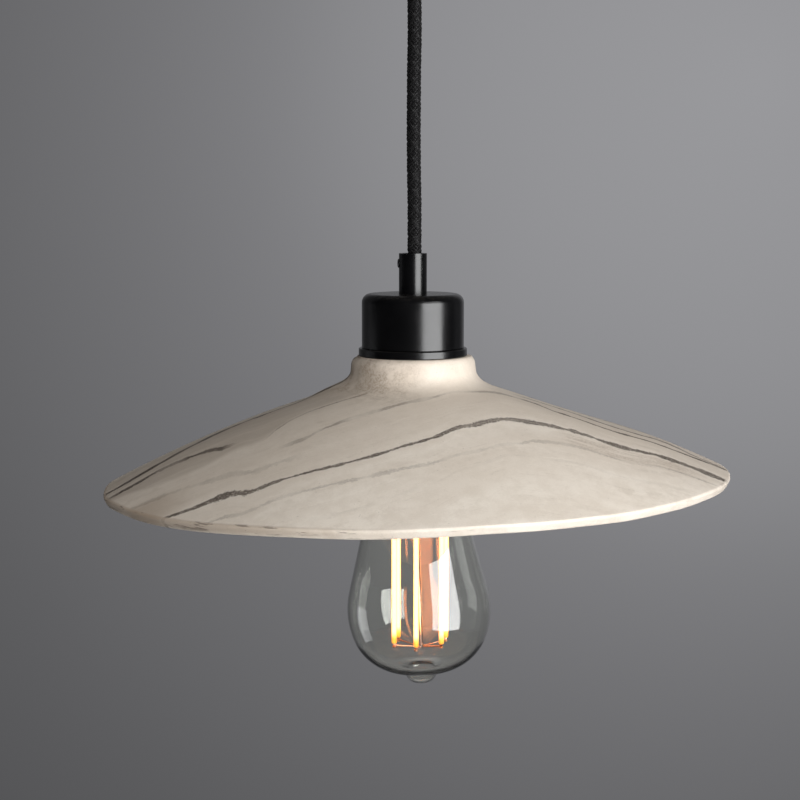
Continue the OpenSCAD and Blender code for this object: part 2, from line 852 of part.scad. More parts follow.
// A brass terminal with its wire hole on top and a clamping screw hole
// in its front face
module wire_terminal(block_cx, stud_x, stud_r, stud_bottom_z) {
    difference() {
        translate([block_cx, 0, insert_top_z + term_h / 2])
            cube([term_l, term_w, term_h], center = true);
        translate([block_cx, 0, insert_top_z + term_h - term_bore_h])
            cylinder(r = term_bore_r, h = term_bore_h + 1);
        translate([block_cx, 0, insert_top_z + term_h / 2])
            rotate([90, 0, 0])
                cylinder(r = term_screw_r + fit_gap, h = term_w);
    }
    translate([stud_x, 0, stud_bottom_z])
        cylinder(r = stud_r, h = insert_top_z - stud_bottom_z);
}

module live_terminal() {
    color("goldenrod")
    wire_terminal(live_x, live_x, live_stud_r, insert_floor_z);
}

module neutral_terminal() {
    color("goldenrod")
    wire_terminal(neutral_block_x, neutral_x, neutral_stud_r, insert_floor_z);
}

module holder_terminal_screws() {
    color("silver")
    for (x = [live_x, neutral_block_x])
        translate([x, -core_r - fit_gap, insert_top_z + term_h / 2])
            rotate([90, 0, 0])
                cylinder(r = term_screw_r, h = term_w / 2 - core_r + 0.8);
}

module screw_shell() {
    color("silver")
    translate([0, 0, shell_bottom_z])
        difference() {
            cylinder(r = shell_r, h = insert_floor_z - shell_bottom_z);
            translate([0, 0, -1])
                cylinder(r = shell_in_r, h = insert_floor_z - shell_bottom_z + 2);
        }
}

// A springy brass tongue: foot near the porcelain, belly on the bulb
module centre_contact() {
    foot_z = insert_floor_z - run_gap;
    belly_z = bulb_contact_z + contact_t;
    color("gold")
    translate([0, contact_w / 2, 0])
        rotate([90, 0, 0])
            linear_extrude(contact_w)
                polygon([
                    [contact_foot_x, foot_z], [contact_foot_x, foot_z - contact_t],
                    [contact_foot_x + contact_foot_len, foot_z - contact_t],
                    [contact_flat_x, belly_z - contact_t],
                    [-contact_flat_x, belly_z - contact_t],
                    [contact_toe_x, belly_z - contact_t + toe_rise],
                    [contact_toe_x, belly_z + toe_rise],
                    [-contact_flat_x, belly_z], [contact_flat_x, belly_z],
                    [contact_foot_x + contact_foot_len, foot_z]
                ]);
}

// Depth of the shade's roof below the neck's top, by radius
function roof(r) = roof_start_z + roof_slope * (r - roof_start_r)
    + roof_bow * pow(r - roof_start_r, 2);

// The point inside the wall that lies straight behind a roof point; the
// wall thins towards the rim
function roof_inside(r) = let (
        a = atan(roof_slope + 2 * roof_bow * (r - roof_start_r)),
        share = (r - roof_start_r) / (roof_end_r - roof_start_r),
        wall = shade_wall + (rim_wall - shade_wall) * share
    ) [r - wall * sin(a), -roof(r) - wall * cos(a)];

// A point of the rim: so far in from its outer edge along the roof, and so
// far through the wall
function rim_point(along, through) = [
    shade_r - along * cos(rim_angle) - through * sin(rim_angle),
    -roof(shade_r) + along * sin(rim_angle) - through * cos(rim_angle)
];

// The thrown form is turned round its own leaning axis; the neck's top,
// its hole and the clamping face inside are cut level
module shade() {
    color("linen")
    translate([0, 0, seat_z])
        difference() {
            intersection() {
                rotate([-shade_tip, -shade_lean, 0])
                    rotate_extrude()
                        polygon(concat(
                            [[hole_r - 4, 3], [neck_r, 3]],
                            pulled([neck_r, 0], [neck_foot_r - 0.8, -0.8],
                                [neck_foot_r - 0.4, -neck_h / 2], 4),
                            pulled([neck_foot_r, -neck_h], [fillet_r, -fillet_z],
                                [roof_start_r, -roof_start_z], 6),
                            [for (i = [1:roof_points]) let (r = roof_start_r
                                + (roof_end_r - roof_start_r) * i / roof_points) [r, -roof(r)]],
                            arc(rim_point(lip_round, lip_round), lip_round,
                                75 - rim_angle, -rim_angle, 5),
                            arc(rim_point(lip_round, rim_wall - lip_round), lip_round,
                                -rim_angle, -75 - rim_angle, 5),
                            [for (i = [roof_points:-1:0]) roof_inside(roof_start_r
                                + (roof_end_r - roof_start_r) * i / roof_points)],
                            [[pocket_r - 1.8, -neck_floor - 1], [hole_r - 4, -neck_floor - 1]]
                        ));
                translate([0, 0, -2 * shade_r])
                    cylinder(r = 2 * shade_r, h = 2 * shade_r);
            }
            translate([0, 0, -shade_r])
                cylinder(r = hole_r, h = 2 * shade_r);
            translate([0, 0, -neck_floor - 12])
                cylinder(r = pocket_r, h = 12);
        }
}

module shade_washer() {
    color("dimgray")
    translate([0, 0, lower_ring_z])
        difference() {
            cylinder(r = lower_ring_r, h = washer_t);
            translate([0, 0, -1])
                cylinder(r = skirt_r + run_gap, h = washer_t + 2);
        }
}

module lower_ring() {
    color("black")
    translate([0, 0, lower_ring_z - lower_ring_h])
        difference() {
            rotate_extrude()
                polygon([
                    [0, 0], [lower_ring_r - 2, 0], [lower_ring_r - 1.5, lower_ring_h - 2],
                    [lower_ring_r, lower_ring_h - 2], [lower_ring_r, lower_ring_h],
                    [0, lower_ring_h]
                ]);
            translate([0, 0, -1])
                cylinder(r = skirt_r + fit_gap, h = lower_ring_h + 2);
        }
}

// The glass outline from the seal down to the tip, drawn in by inset
function glass_outline(inset) = concat(
    [[bulb_mouth_r - inset, -seal_u], [bulb_mouth_r - inset, -bulb_cap_h + 0.5]],
    pulled([bulb_mouth_r - inset, -bulb_cap_h - 0.5],
        [neck_cone_r(bulb_neck_u - 2) - inset, -bulb_cap_h - 0.8],
        [neck_cone_r(bulb_neck_u) - inset, -bulb_neck_u], 5),
    [for (a = [-shoulder_top_a:4:shoulder_low_a])
        [shoulder_cx + (shoulder_r - inset) * cos(a), -bulb_wide_u - (shoulder_r - inset) * sin(a)]],
    arc([corner_cx, -corner_cu], corner_r - inset, -shoulder_low_a - 5, -corner_end_a, 8)
);

// Radius of the bulb's straight cone between neck and shoulder
function neck_cone_r(u) = let (
        r = shoulder_cx + shoulder_r * cos(shoulder_top_a),
        cone_u = bulb_wide_u - shoulder_r * sin(shoulder_top_a)
    ) r - (cone_u - u) * tan(shoulder_top_a);

// Places a bulb piece that follows the glass's lean in its cap
module leaning_in_cap() {
    translate([0, 0, bulb_contact_z - bulb_cap_h])
        rotate([0, -bulb_lean, 0])
            translate([0, 0, bulb_cap_h])
                children();
}

module bulb_glass() {
    color("lightgray", 0.35)
    leaning_in_cap()
        rotate_extrude()
            polygon(concat(
                glass_outline(0),
                [[tip_r, -tip_top_u]],
                arc([tip_r - tip_h, -tip_top_u], tip_h, -tip_start_a, -90, 6),
                [[0, -tip_top_u - tip_h], [0, -tip_top_u + 1]],
                [for (i = [len(glass_outline(glass_wall)) - 1:-1:0]) glass_outline(glass_wall)[i]]
            ));
}

module bulb_screw_cap() {
    color("silver")
    translate([0, 0, bulb_contact_z])
        rotate_extrude()
            polygon([
                [insulator_r, -insulator_h], [bulb_cap_r - 0.6, -insulator_h - 1.2],
                [bulb_cap_r, -insulator_h - 3], [bulb_cap_r, -bulb_cap_h],
                [bulb_cap_r - bulb_cap_wall, -bulb_cap_h],
                [bulb_cap_r - bulb_cap_wall, -insulator_h - 3.2],
                [bulb_cap_r - 1.1, -insulator_h - 1.6], [insulator_r, -insulator_h - 0.5]
            ]);
}

module bulb_insulator() {
    color("black")
    translate([0, 0, bulb_contact_z])
        rotate_extrude()
            polygon([
                [0, -bulb_contact_h], [bulb_contact_r + 0.4, -bulb_contact_h],
                [insulator_r - 1, -insulator_h + 0.8], [insulator_r, -insulator_h],
                [insulator_r, -insulator_h - 0.5], [0, -insulator_h - 0.5]
            ]);
}

module bulb_contact() {
    color("silver")
    translate([0, 0, bulb_contact_z])
        rotate_extrude()
            polygon([
                [0, 0], [bulb_contact_r - 1.6, 0], [bulb_contact_r, -0.6],
                [bulb_contact_r, -bulb_contact_h], [0, -bulb_contact_h]
            ]);
}

module bulb_stem() {
    color("lightgray", 0.5)
    leaning_in_cap()
        rotate_extrude()
            polygon(concat(
                [[0, -stem_flare_u - 2], [bulb_mouth_r - glass_wall - 1.5, -stem_flare_u + 1],
                    [bulb_mouth_r - glass_wall - run_gap, -stem_flare_u]],
                pulled([bulb_mouth_r - glass_wall - 2, -stem_flare_u - 2],
                    [3.5, -stem_flare_u - 6], [2.8, 2 - press_u], 6),
                [[2.4, -press_u], [rod_r, -press_u - 1], [rod_r, 1 - rod_end_u],
                    [rod_r - 0.5, -rod_end_u], [0, -rod_end_u]]
            ));
}

// Where a filament stands, by its number and its depth under the contact
function filament_at(i, u) = [
    filament_ring_r * cos(filament_angles[i]), filament_ring_r * sin(filament_angles[i]), -u
];

// The filaments stand upright, though the glass round them leans
function filament_top(i, beyond) = filament_at(i, filament_end_u)
    + (filament_len + beyond) * [sin(bulb_lean), 0, cos(bulb_lean)];

module filaments() {
    color("moccasin")
    leaning_in_cap()
        for (i = [0:len(filament_angles) - 1])
            translate(filament_at(i, filament_end_u))
                rotate([0, bulb_lean, 0])
                    cylinder(d = filament_d, h = filament_len);
}

// Thin wires from the stem's press out to the upper filament ends
module filament_leads() {
    color("silver")
    leaning_in_cap()
        for (i = [0:len(filament_angles) - 1]) {
            out = filament_top(i, wire_r);
            inward = [cos(filament_angles[i]), sin(filament_angles[i]), 0];
            foot = (rod_r + wire_r) * inward;
            wire([foot - [0, 0, lead_u], foot + inward - [0, 0, lead_u + 2],
                out - 1.5 * inward, out], wire_r, cross(inward, [0, 0, 1]));
        }
}

// Thin wires that gather the lower filament ends at the foot of the rod
module filament_end_wires() {
    color("peru")
    leaning_in_cap()
        for (i = [0:len(filament_angles) - 1]) {
            out = filament_at(i, filament_end_u + wire_r);
            inward = [cos(filament_angles[i]), sin(filament_angles[i]), 0];
            foot = (rod_r + wire_r) * inward;
            wire([out, out - 2 * inward - [0, 0, 0.8], foot + 2 * inward - [0, 0, rod_end_u - 1.4],
                foot - [0, 0, rod_end_u - 1.4]], wire_r, cross(inward, [0, 0, 1]));
        }
}

// The little driver board that stands inside the bulb's screw cap
module bulb_driver_board() {
    board_top = insulator_h + 0.5;
    color("seagreen")
    translate([0, 0, bulb_contact_z - board_top]) {
        translate([-board_w / 2, -0.5, -board_h])
            cube([board_w, 1, board_h]);
        translate([-3, 3.4, -11])
            cylinder(r = 3, h = 9);
        translate([1.5, -4.5, -8])
            cube([5, 4.2, 5]);
    }
}

ceiling_bracket();
earth_terminal_screw();
rose_earth_tag();
terminal_block();
terminal_tubes();
terminal_clamp_screws();
ceiling_cup();
cup_side_screws();
rose_cord_grip();
rose_grip_washer();
rose_grip_nut();
rose_grip_screw();
rose_flex_end();
rose_live_core();
rose_neutral_core();
rose_earth_core();
flex();
lamp_flex_end();
lamp_cord_grip();
lamp_grip_screw();
lamp_earth_tag();
lamp_grip_nut();
lamp_live_core();
lamp_neutral_core();
lamp_earth_core();
lampholder_cap();
upper_ring();
threaded_skirt();
porcelain_insert();
live_terminal();
neutral_terminal();
holder_terminal_screws();
screw_shell();
centre_contact();
shade();
shade_washer();
lower_ring();
bulb_glass();
bulb_screw_cap();
bulb_insulator();
bulb_contact();
bulb_stem();
filaments();
filament_leads();
filament_end_wires();
bulb_driver_board();
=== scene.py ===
"""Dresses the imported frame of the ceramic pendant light: the braided flex, the turned
metal lampholder, the marbled clay shade, the lit bulb and the studio round them."""

import json
import math

import bpy
from mathutils import Matrix, Vector


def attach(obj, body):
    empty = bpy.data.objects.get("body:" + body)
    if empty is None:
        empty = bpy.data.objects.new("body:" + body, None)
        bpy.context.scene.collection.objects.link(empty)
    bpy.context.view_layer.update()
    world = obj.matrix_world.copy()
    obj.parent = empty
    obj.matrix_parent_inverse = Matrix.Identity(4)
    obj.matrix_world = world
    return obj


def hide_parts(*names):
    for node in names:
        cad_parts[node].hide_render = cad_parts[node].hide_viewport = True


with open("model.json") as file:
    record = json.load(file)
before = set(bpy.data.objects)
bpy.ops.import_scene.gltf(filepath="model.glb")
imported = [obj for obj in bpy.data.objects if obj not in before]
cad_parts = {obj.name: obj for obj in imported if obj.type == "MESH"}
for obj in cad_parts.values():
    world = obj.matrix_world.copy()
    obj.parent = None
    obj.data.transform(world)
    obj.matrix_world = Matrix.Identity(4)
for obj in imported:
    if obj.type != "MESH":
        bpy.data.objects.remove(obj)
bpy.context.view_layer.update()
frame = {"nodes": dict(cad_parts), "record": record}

# A millimetre, in metres
MM = 0.001

# Points of a mesh nearer than this become one, in metres
WELD = 0.00001

# Heights in millimetres below the ceiling: the mouths of the two cord grips, the face
# that the shade's neck lies against, and the bulb's contact
ROSE_MOUTH_Z = -43.0
LAMP_MOUTH_Z = -169.0
SEAT_Z = -215.0
BULB_CONTACT_Z = -221.7


# Modelling by hand

def deselect_all():
    if bpy.context.object and bpy.context.object.mode != "OBJECT":
        bpy.ops.object.mode_set(mode="OBJECT")
    bpy.ops.object.select_all(action="DESELECT")


def select_only(obj):
    deselect_all()
    obj.select_set(True)
    bpy.context.view_layer.objects.active = obj


def modify(piece, kind, **settings):
    """Adds a modifier to the piece in hand, sets it and applies it."""
    bpy.ops.object.modifier_add(type=kind)
    change = piece.modifiers[-1]
    for key, value in settings.items():
        setattr(change, key, value)
    bpy.ops.object.modifier_apply(modifier=change.name)


def close_up():
    """Joins doubled points and turns all faces outwards."""
    bpy.ops.mesh.select_all(action="SELECT")
    bpy.ops.mesh.remove_doubles(threshold=WELD)
    bpy.ops.mesh.normals_make_consistent(inside=False)
    bpy.ops.object.mode_set(mode="OBJECT")


def draw_outline(points):
    """Leaves edit mode with a line of edges drawn through points, in millimetres."""
    deselect_all()
    points = [Vector(p) * MM for p in points]
    bpy.ops.mesh.primitive_plane_add(size=MM, location=points[0])
    bpy.ops.object.mode_set(mode="EDIT")
    bpy.ops.mesh.merge(type="CENTER")
    for before, after in zip(points, points[1:]):
        bpy.ops.mesh.extrude_region_move(TRANSFORM_OT_translate={"value": after - before})


def turned(name, outline, sides, closed=True):
    """A piece turned round the Z axis from its outline of (radius, height) points."""
    points = [(r, 0, z) for r, z in outline]
    if closed:
        points.append(points[0])
    draw_outline(points)
    bpy.ops.mesh.select_all(action="SELECT")
    bpy.ops.mesh.spin(steps=sides, angle=2 * math.pi, center=(0, 0, 0), axis=(0, 0, 1))
    close_up()
    piece = bpy.context.object
    piece.name = name
    settle(piece)
    return piece


def threaded_sleeve(name, crest, root, wall, low, high, pitch):
    """A rolled sheet sleeve with a round helical thread between two heights."""
    steps, sides = 10, 64
    wave = [(root + (crest - root) * (0.5 - 0.5 * math.cos(2 * math.pi * i / steps)), 0,
             low - pitch + pitch * i / steps) for i in range(steps + 1)]
    draw_outline(wave)
    bpy.ops.object.mode_set(mode="OBJECT")
    piece = bpy.context.object
    piece.name = name
    settle(piece)
    modify(piece, "SCREW", steps=sides, render_steps=sides,
           iterations=math.ceil((high - low) / pitch) + 2, screw_offset=pitch * MM,
           use_merge_vertices=True, merge_threshold=WELD / 2)
    bpy.ops.object.mode_set(mode="EDIT")
    for height, up in ((low, -1), (high, 1)):
        bpy.ops.mesh.select_all(action="SELECT")
        bpy.ops.mesh.bisect(plane_co=(0, 0, height * MM), plane_no=(0, 0, up), clear_outer=True)
    close_up()
    modify(piece, "SOLIDIFY", thickness=wall * MM, offset=-1)
    return piece


def settle(piece):
    """Puts a piece's place into its mesh."""
    select_only(piece)
    bpy.ops.object.transform_apply(location=True, rotation=True, scale=True)


def place(piece, matrix):
    """Moves a piece into its place and keeps the place in its mesh."""
    piece.matrix_world = matrix @ piece.matrix_world
    settle(piece)


def at_point(x, y, z):
    return Matrix.Translation((x * MM, y * MM, z * MM))


def turn(degrees, axis):
    return Matrix.Rotation(math.radians(degrees), 4, axis)


def smooth(piece, angle=35):
    select_only(piece)
    bpy.ops.object.shade_smooth_by_angle(angle=math.radians(angle))


def copy_of(piece, name):
    """A copy with a mesh of its own."""
    select_only(piece)
    bpy.ops.object.duplicate()
    twin = bpy.context.object
    twin.name = name
    return twin


def joined(pieces, name):
    """Several solids as one piece."""
    deselect_all()
    for piece in pieces:
        piece.select_set(True)
    bpy.context.view_layer.objects.active = pieces[0]
    bpy.ops.object.join()
    pieces[0].name = name
    return pieces[0]


def cut(piece, tool):
    """Takes the tool's shape out of a piece."""
    select_only(piece)
    modify(piece, "BOOLEAN", operation="DIFFERENCE", solver="EXACT", object=tool)
    bpy.data.objects.remove(tool)


def soften(piece, width):
    """Rounds a piece's sharp edges."""
    select_only(piece)
    modify(piece, "BEVEL", width=width * MM, segments=2, limit_method="ANGLE",
           angle_limit=math.radians(40))


def drum(radius, low, high):
    """A plain cylinder to cut with."""
    deselect_all()
    bpy.ops.mesh.primitive_cylinder_add(
        vertices=128, radius=radius * MM, depth=(high - low) * MM,
        location=(0, 0, (low + high) / 2 * MM))
    settle(bpy.context.object)
    return bpy.context.object


def block(x, y, z, long, wide, tall):
    """A plain block about its middle, to cut with or to shape."""
    deselect_all()
    bpy.ops.mesh.primitive_cube_add(size=1, location=(x * MM, y * MM, z * MM))
    bpy.context.object.scale = (long * MM, wide * MM, tall * MM)
    settle(bpy.context.object)
    return bpy.context.object


def arc(cx, cz, r, start, end, steps):
    """Points on an arc in a turned piece's outline, by angles in degrees."""
    return [(cx + r * math.cos(math.radians(start + (end - start) * i / steps)),
             cz + r * math.sin(math.radians(start + (end - start) * i / steps)))
            for i in range(steps + 1)]


def pulled(a, mid, b, steps):
    """Points on a curve from a to b that is pulled towards a middle point."""
    return [tuple(a[k] * (1 - t) ** 2 + mid[k] * 2 * t * (1 - t) + b[k] * t ** 2
                  for k in (0, 1)) for t in (i / steps for i in range(steps + 1))]


def done(piece, material, body, nodes=()):
    """Gives a finished piece its material, its body and the nodes it stands for."""
    piece.data.materials.clear()
    piece.data.materials.append(material)
    piece.data.name = piece.name
    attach(piece, body)
    if nodes:
        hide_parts(*nodes)
    return piece


# Node tools

def add(tree, kind, inputs=None, **settings):
    """Adds a node, sets what it is set to and fills or links its sockets."""
    made = tree.nodes.new("ShaderNode" + kind)
    for key, value in settings.items():
        setattr(made, key, value)
    for key, value in (inputs or {}).items():
        feed(tree, value, made.inputs[key])
    return made


def feed(tree, value, socket):
    if isinstance(value, bpy.types.NodeSocket):
        tree.links.new(value, socket)
    else:
        socket.default_value = value


def calc(tree, operation, a, b=0.0, c=0.0):
    """One sum on values."""
    return add(tree, "Math", {0: a, 1: b, 2: c}, operation=operation).outputs[0]


def times(tree, first, *others):
    """The product of some values."""
    for value in others:
        first = calc(tree, "MULTIPLY", first, value)
    return first


def mix_colour(tree, factor, a, b):
    made = add(tree, "Mix", data_type="RGBA")
    feed(tree, factor, made.inputs[0])
    feed(tree, a, made.inputs[6])
    feed(tree, b, made.inputs[7])
    return made.outputs[2]


def mix_value(tree, factor, a, b):
    made = add(tree, "Mix", data_type="FLOAT")
    feed(tree, factor, made.inputs[0])
    feed(tree, a, made.inputs[2])
    feed(tree, b, made.inputs[3])
    return made.outputs[0]


def spread(tree, value, low, high, to_low=0.0, to_high=1.0, how="SMOOTHSTEP"):
    """Brings a value from one range into another, held at its ends."""
    made = add(tree, "MapRange", {0: value, 1: low, 2: high, 3: to_low, 4: to_high},
               interpolation_type=how)
    return made.outputs[0]


def noise(tree, vector, scale, detail=2.0, rough=0.5):
    return add(tree, "TexNoise", {"Vector": vector, "Scale": scale, "Detail": detail,
                                  "Roughness": rough}).outputs[0]


def drawn_line(tree, value, corners, low, high):
    """A value that follows a smooth line through a few corners, each axis brought
    from its own range."""
    share = spread(tree, value, low[0], high[0], how="LINEAR")
    made = add(tree, "FloatCurve", {"Value": share})
    points = made.mapping.curves[0].points
    for _ in corners[2:]:
        points.new(0.5, 0.5)
    for point, (across, up) in zip(points, corners):
        point.location = ((across - low[0]) / (high[0] - low[0]),
                          (up - low[1]) / (high[1] - low[1]))
    made.mapping.update()
    return spread(tree, made.outputs[0], 0.0, 1.0, low[1], high[1], "LINEAR")


def in_mm(tree):
    """The piece's own coordinates in millimetres."""
    own = add(tree, "TexCoord").outputs["Object"]
    return add(tree, "VectorMath", {0: own, "Scale": 1 / MM}, operation="SCALE").outputs[0]


def new_group(name, inputs, outputs):
    """A node group with named inputs, given with their values, and named outputs."""
    tree = bpy.data.node_groups.new(name, "ShaderNodeTree")
    for key, value in inputs.items():
        kind = "NodeSocketFloat"
        if isinstance(value, tuple):
            kind = "NodeSocketColor" if len(value) == 4 else "NodeSocketVector"
        socket = tree.interface.new_socket(key, in_out="INPUT", socket_type=kind)
        socket.default_value = value
    for key, kind in outputs.items():
        tree.interface.new_socket(key, in_out="OUTPUT", socket_type="NodeSocket" + kind)
    return tree, tree.nodes.new("NodeGroupInput").outputs, tree.nodes.new("NodeGroupOutput").inputs


def use(tree, group, **inputs):
    """Places a node group with its own values."""
    made = tree.nodes.new("ShaderNodeGroup")
    made.node_tree = group
    for key, value in inputs.items():
        feed(tree, value, made.inputs[key.replace("_", " ")])
    return made.outputs


def new_material(name, **sockets):
    """A material with its shader's plain values set on the shader itself."""
    material = bpy.data.materials.new(name)
    material.use_nodes = True
    shader = material.node_tree.nodes["Principled BSDF"]
    for key, value in sockets.items():
        shader.inputs[key.replace("_", " ")].default_value = value
    return material, material.node_tree, shader


def bump(tree, height, strength, distance):
    return add(tree, "Bump", {"Height": height, "Strength": strength,
                              "Distance": distance}).outputs[0]


def srgb(r, g, b):
    """A colour as it is seen on screen, 0 to 255."""
    return tuple(((c / 255 + 0.055) / 1.055) ** 2.4 if c > 10 else c / 255 / 12.92
                 for c in (r, g, b)) + (1.0,)


# Shared surface effects

def fine_grain_group():
    """Even fine grain: powder coat, plating or moulded plastic."""
    tree, given, out = new_group(
        "fine grain",
        {"Vector": (0.0, 0.0, 0.0), "Grain size": 0.3, "Low": 0.3, "High": 0.4},
        {"Roughness": "Float", "Height": "Float", "Cloud": "Float"})
    scale = calc(tree, "DIVIDE", 1.0, given["Grain size"])
    fine = noise(tree, given["Vector"], scale, 2.0)
    slow = noise(tree, given["Vector"], 0.09, 3.0)
    cloud = spread(tree, slow, 0.3, 0.7)
    mixed = calc(tree, "MULTIPLY_ADD", fine, 0.3, times(tree, cloud, 0.7))
    feed(tree, mix_value(tree, mixed, given["Low"], given["High"]), out["Roughness"])
    feed(tree, fine, out["Height"])
    feed(tree, cloud, out["Cloud"])
    return tree


def dust_group():
    """A thin veil of dust on what faces up."""
    tree, given, out = new_group("dust", {"Vector": (0.0, 0.0, 0.0), "Amount": 0.3},
                                 {"Mask": "Float"})
    normal = add(tree, "NewGeometry").outputs["Normal"]
    up = add(tree, "SeparateXYZ", {0: normal}).outputs[2]
    faces_up = spread(tree, up, 0.35, 1.0)
    patch = spread(tree, noise(tree, given["Vector"], 0.6, 4.0, 0.7), 0.35, 0.75)
    feed(tree, times(tree, faces_up, patch, given["Amount"]), out["Mask"])
    return tree


def clay_vein_group():
    """One dark sheet in the marbled clay, where the clay's field has its value."""
    tree, given, out = new_group(
        "clay vein",
        {"Vector": (0.0, 0.0, 0.0), "Field": 0.0, "Along": 0.0, "Seed": 0.0, "Centre": 0.0,
         "Half width": 1.0, "Wander": 1.0, "Grain": 1.0, "Breaks": 0.5, "Hollow": 0.0},
        {"Mask": "Float"})

    def along(scale, seed_step):
        """Noise that changes only along the sheet."""
        at = add(tree, "CombineXYZ", {0: times(tree, given["Along"], scale),
                                      1: calc(tree, "ADD", given["Seed"], seed_step), 2: 0.0})
        return noise(tree, at.outputs[0], 1.0, 2.0)

    wander = times(tree, calc(tree, "SUBTRACT", along(0.03, 0.0), 0.5), given["Wander"])
    width = times(tree, spread(tree, along(0.09, 7.3), 0.3, 0.7, 0.55, 1.4),
                  given["Half width"])
    coarse = calc(tree, "SUBTRACT", noise(tree, given["Vector"], 0.5, 2.0, 0.6), 0.5)
    fine = calc(tree, "SUBTRACT", noise(tree, given["Vector"], 1.6, 2.0, 0.7), 0.5)
    shake = times(tree, calc(tree, "ADD", coarse, fine), given["Grain"])
    moved = calc(tree, "ADD", calc(tree, "ADD", given["Field"], wander), shake)
    away = calc(tree, "ABSOLUTE", calc(tree, "SUBTRACT", moved, given["Centre"]))
    edge = calc(tree, "DIVIDE", away, width)
    sheet = spread(tree, edge, 0.6, 1.0, 1.0, 0.0)
    core = times(tree, spread(tree, edge, 0.1, 0.5, 1.0, 0.0), given["Hollow"])
    solid = calc(tree, "SUBTRACT", 1.0, core)
    intact = calc(tree, "SUBTRACT", 1.0, given["Breaks"])
    whole = spread(tree, along(0.07, 13.9), 0.38, 0.6, intact, 1.0)
    crumb = spread(tree, noise(tree, given["Vector"], 1.1, 3.0, 0.8), 0.38, 0.5, 0.5, 1.0)
    feed(tree, times(tree, sheet, solid, whole, crumb), out["Mask"])
    return tree


FINE_GRAIN = fine_grain_group()
DUST = dust_group()
CLAY_VEIN = clay_vein_group()


# Materials

def satin_metal(name, colour, metallic, rough, grain=0.3, depth=0.004, dust=0.1):
    """Powder coat, plating or plain metal with a fine grain and a little dust. Its
    roughness lies between two values; grain and depth are in millimetres."""
    material, tree, shader = new_material(name, Metallic=metallic)
    at = in_mm(tree)
    skin = use(tree, FINE_GRAIN, Vector=at, Grain_size=grain, Low=rough[0], High=rough[1])
    veil = use(tree, DUST, Vector=at, Amount=dust)["Mask"]
    darker = tuple(c * 0.8 for c in colour[:3]) + (1.0,)
    tone = mix_colour(tree, skin["Cloud"], darker, colour)
    feed(tree, mix_colour(tree, veil, tone, srgb(120, 114, 106)), shader.inputs["Base Color"])
    feed(tree, mix_value(tree, veil, skin["Roughness"], 0.8), shader.inputs["Roughness"])
    feed(tree, bump(tree, skin["Height"], 0.25, depth * MM), shader.inputs["Normal"])
    return material


def moulded(name, colour, rough=(0.35, 0.5), coat=0.0):
    """Moulded plastic, rubber or glazed porcelain."""
    material, tree, shader = new_material(name, Coat_Weight=coat, Coat_Roughness=0.08)
    at = in_mm(tree)
    skin = use(tree, FINE_GRAIN, Vector=at, Grain_size=0.5, Low=rough[0], High=rough[1])
    veil = use(tree, DUST, Vector=at, Amount=0.12)["Mask"]
    lighter = tuple(min(1.0, c * 1.15) for c in colour[:3]) + (1.0,)
    tone = mix_colour(tree, skin["Cloud"], colour, lighter)
    feed(tree, mix_colour(tree, veil, tone, srgb(140, 134, 126)), shader.inputs["Base Color"])
    feed(tree, skin["Roughness"], shader.inputs["Roughness"])
    feed(tree, bump(tree, skin["Height"], 0.2, 0.01 * MM), shader.inputs["Normal"])
    return material


def earth_core_cover():
    """Green insulation with its yellow stripes."""
    material, tree, shader = new_material("earth core cover", Roughness=0.4)
    parts = add(tree, "SeparateXYZ", {0: in_mm(tree)}).outputs
    slant = calc(tree, "ADD", parts[2], parts[1])
    stripe = spread(tree, calc(tree, "SINE", times(tree, slant, 1.9)), -0.1, 0.1)
    feed(tree, mix_colour(tree, stripe, srgb(36, 120, 60), srgb(226, 200, 40)),
         shader.inputs["Base Color"])
    return material


def black_cloth():
    """Black braided cotton: matt threads with a faint sheen."""
    material, tree, shader = new_material("black cloth", Sheen_Weight=0.04,
                                          Sheen_Roughness=0.5, Specular_IOR_Level=0.18)
    at = in_mm(tree)
    thread = noise(tree, at, 6.0, 3.0, 0.7)
    slow = noise(tree, at, 0.4, 2.0)
    tone = calc(tree, "MULTIPLY_ADD", thread, 0.5, times(tree, slow, 0.5))
    feed(tree, mix_colour(tree, tone, srgb(5, 5, 6), srgb(17, 16, 17)),
         shader.inputs["Base Color"])
    feed(tree, spread(tree, thread, 0.3, 0.7, 0.45, 0.7), shader.inputs["Roughness"])
    feed(tree, bump(tree, thread, 0.5, 0.05 * MM), shader.inputs["Normal"])
    return material


def clear_glass(name, tint, roughness=0.0):
    """Clear glass that lets light through to what is in it."""
    material, tree, shader = new_material(name, Base_Color=tint, Roughness=roughness,
                                          IOR=1.47, Transmission_Weight=1.0)
    clear = add(tree, "BsdfTransparent", {"Color": (0.92, 0.93, 0.92, 1.0)})
    path = add(tree, "LightPath").outputs["Is Shadow Ray"]
    either = add(tree, "MixShader", {0: path, 1: shader.outputs[0], 2: clear.outputs[0]})
    tree.links.new(either.outputs[0], tree.nodes["Material Output"].inputs["Surface"])
    return material


# The clay's colours as they are seen on screen
CREAM = (220, 212, 201)
DULL_CREAM = (208, 198, 186)
MOTTLED_CREAM = (199, 188, 175)
REAR_CREAM = (190, 177, 163)
PALE_STREAK = (230, 223, 213)
SOFT_STREAK = (160, 146, 132)
THIN_STREAK = (128, 114, 102)
FINE_STREAK = (112, 100, 90)
TAUPE = (142, 129, 116)
SANDY_BROWN = (150, 132, 114)
UNDER_VEIN = (140, 122, 106)
VEIN_BROWN = (56, 45, 37)
# Painted shade on the lip's left
LEFT_LIP_SHADE = (156, 137, 117)
EDGE_SMEAR = (98, 88, 80)
# Brown by the neck's left half: partly smudges in the clay, partly painted shade
NECK_SMUDGE_AND_SHADE = (130, 114, 98)
SPECKLE = (150, 138, 124)
DARK_DOT = (92, 80, 70)

# The middle of the leaning shade's lip, in millimetres
LIP_MIDDLE = (1.55, -0.48, 0.0)

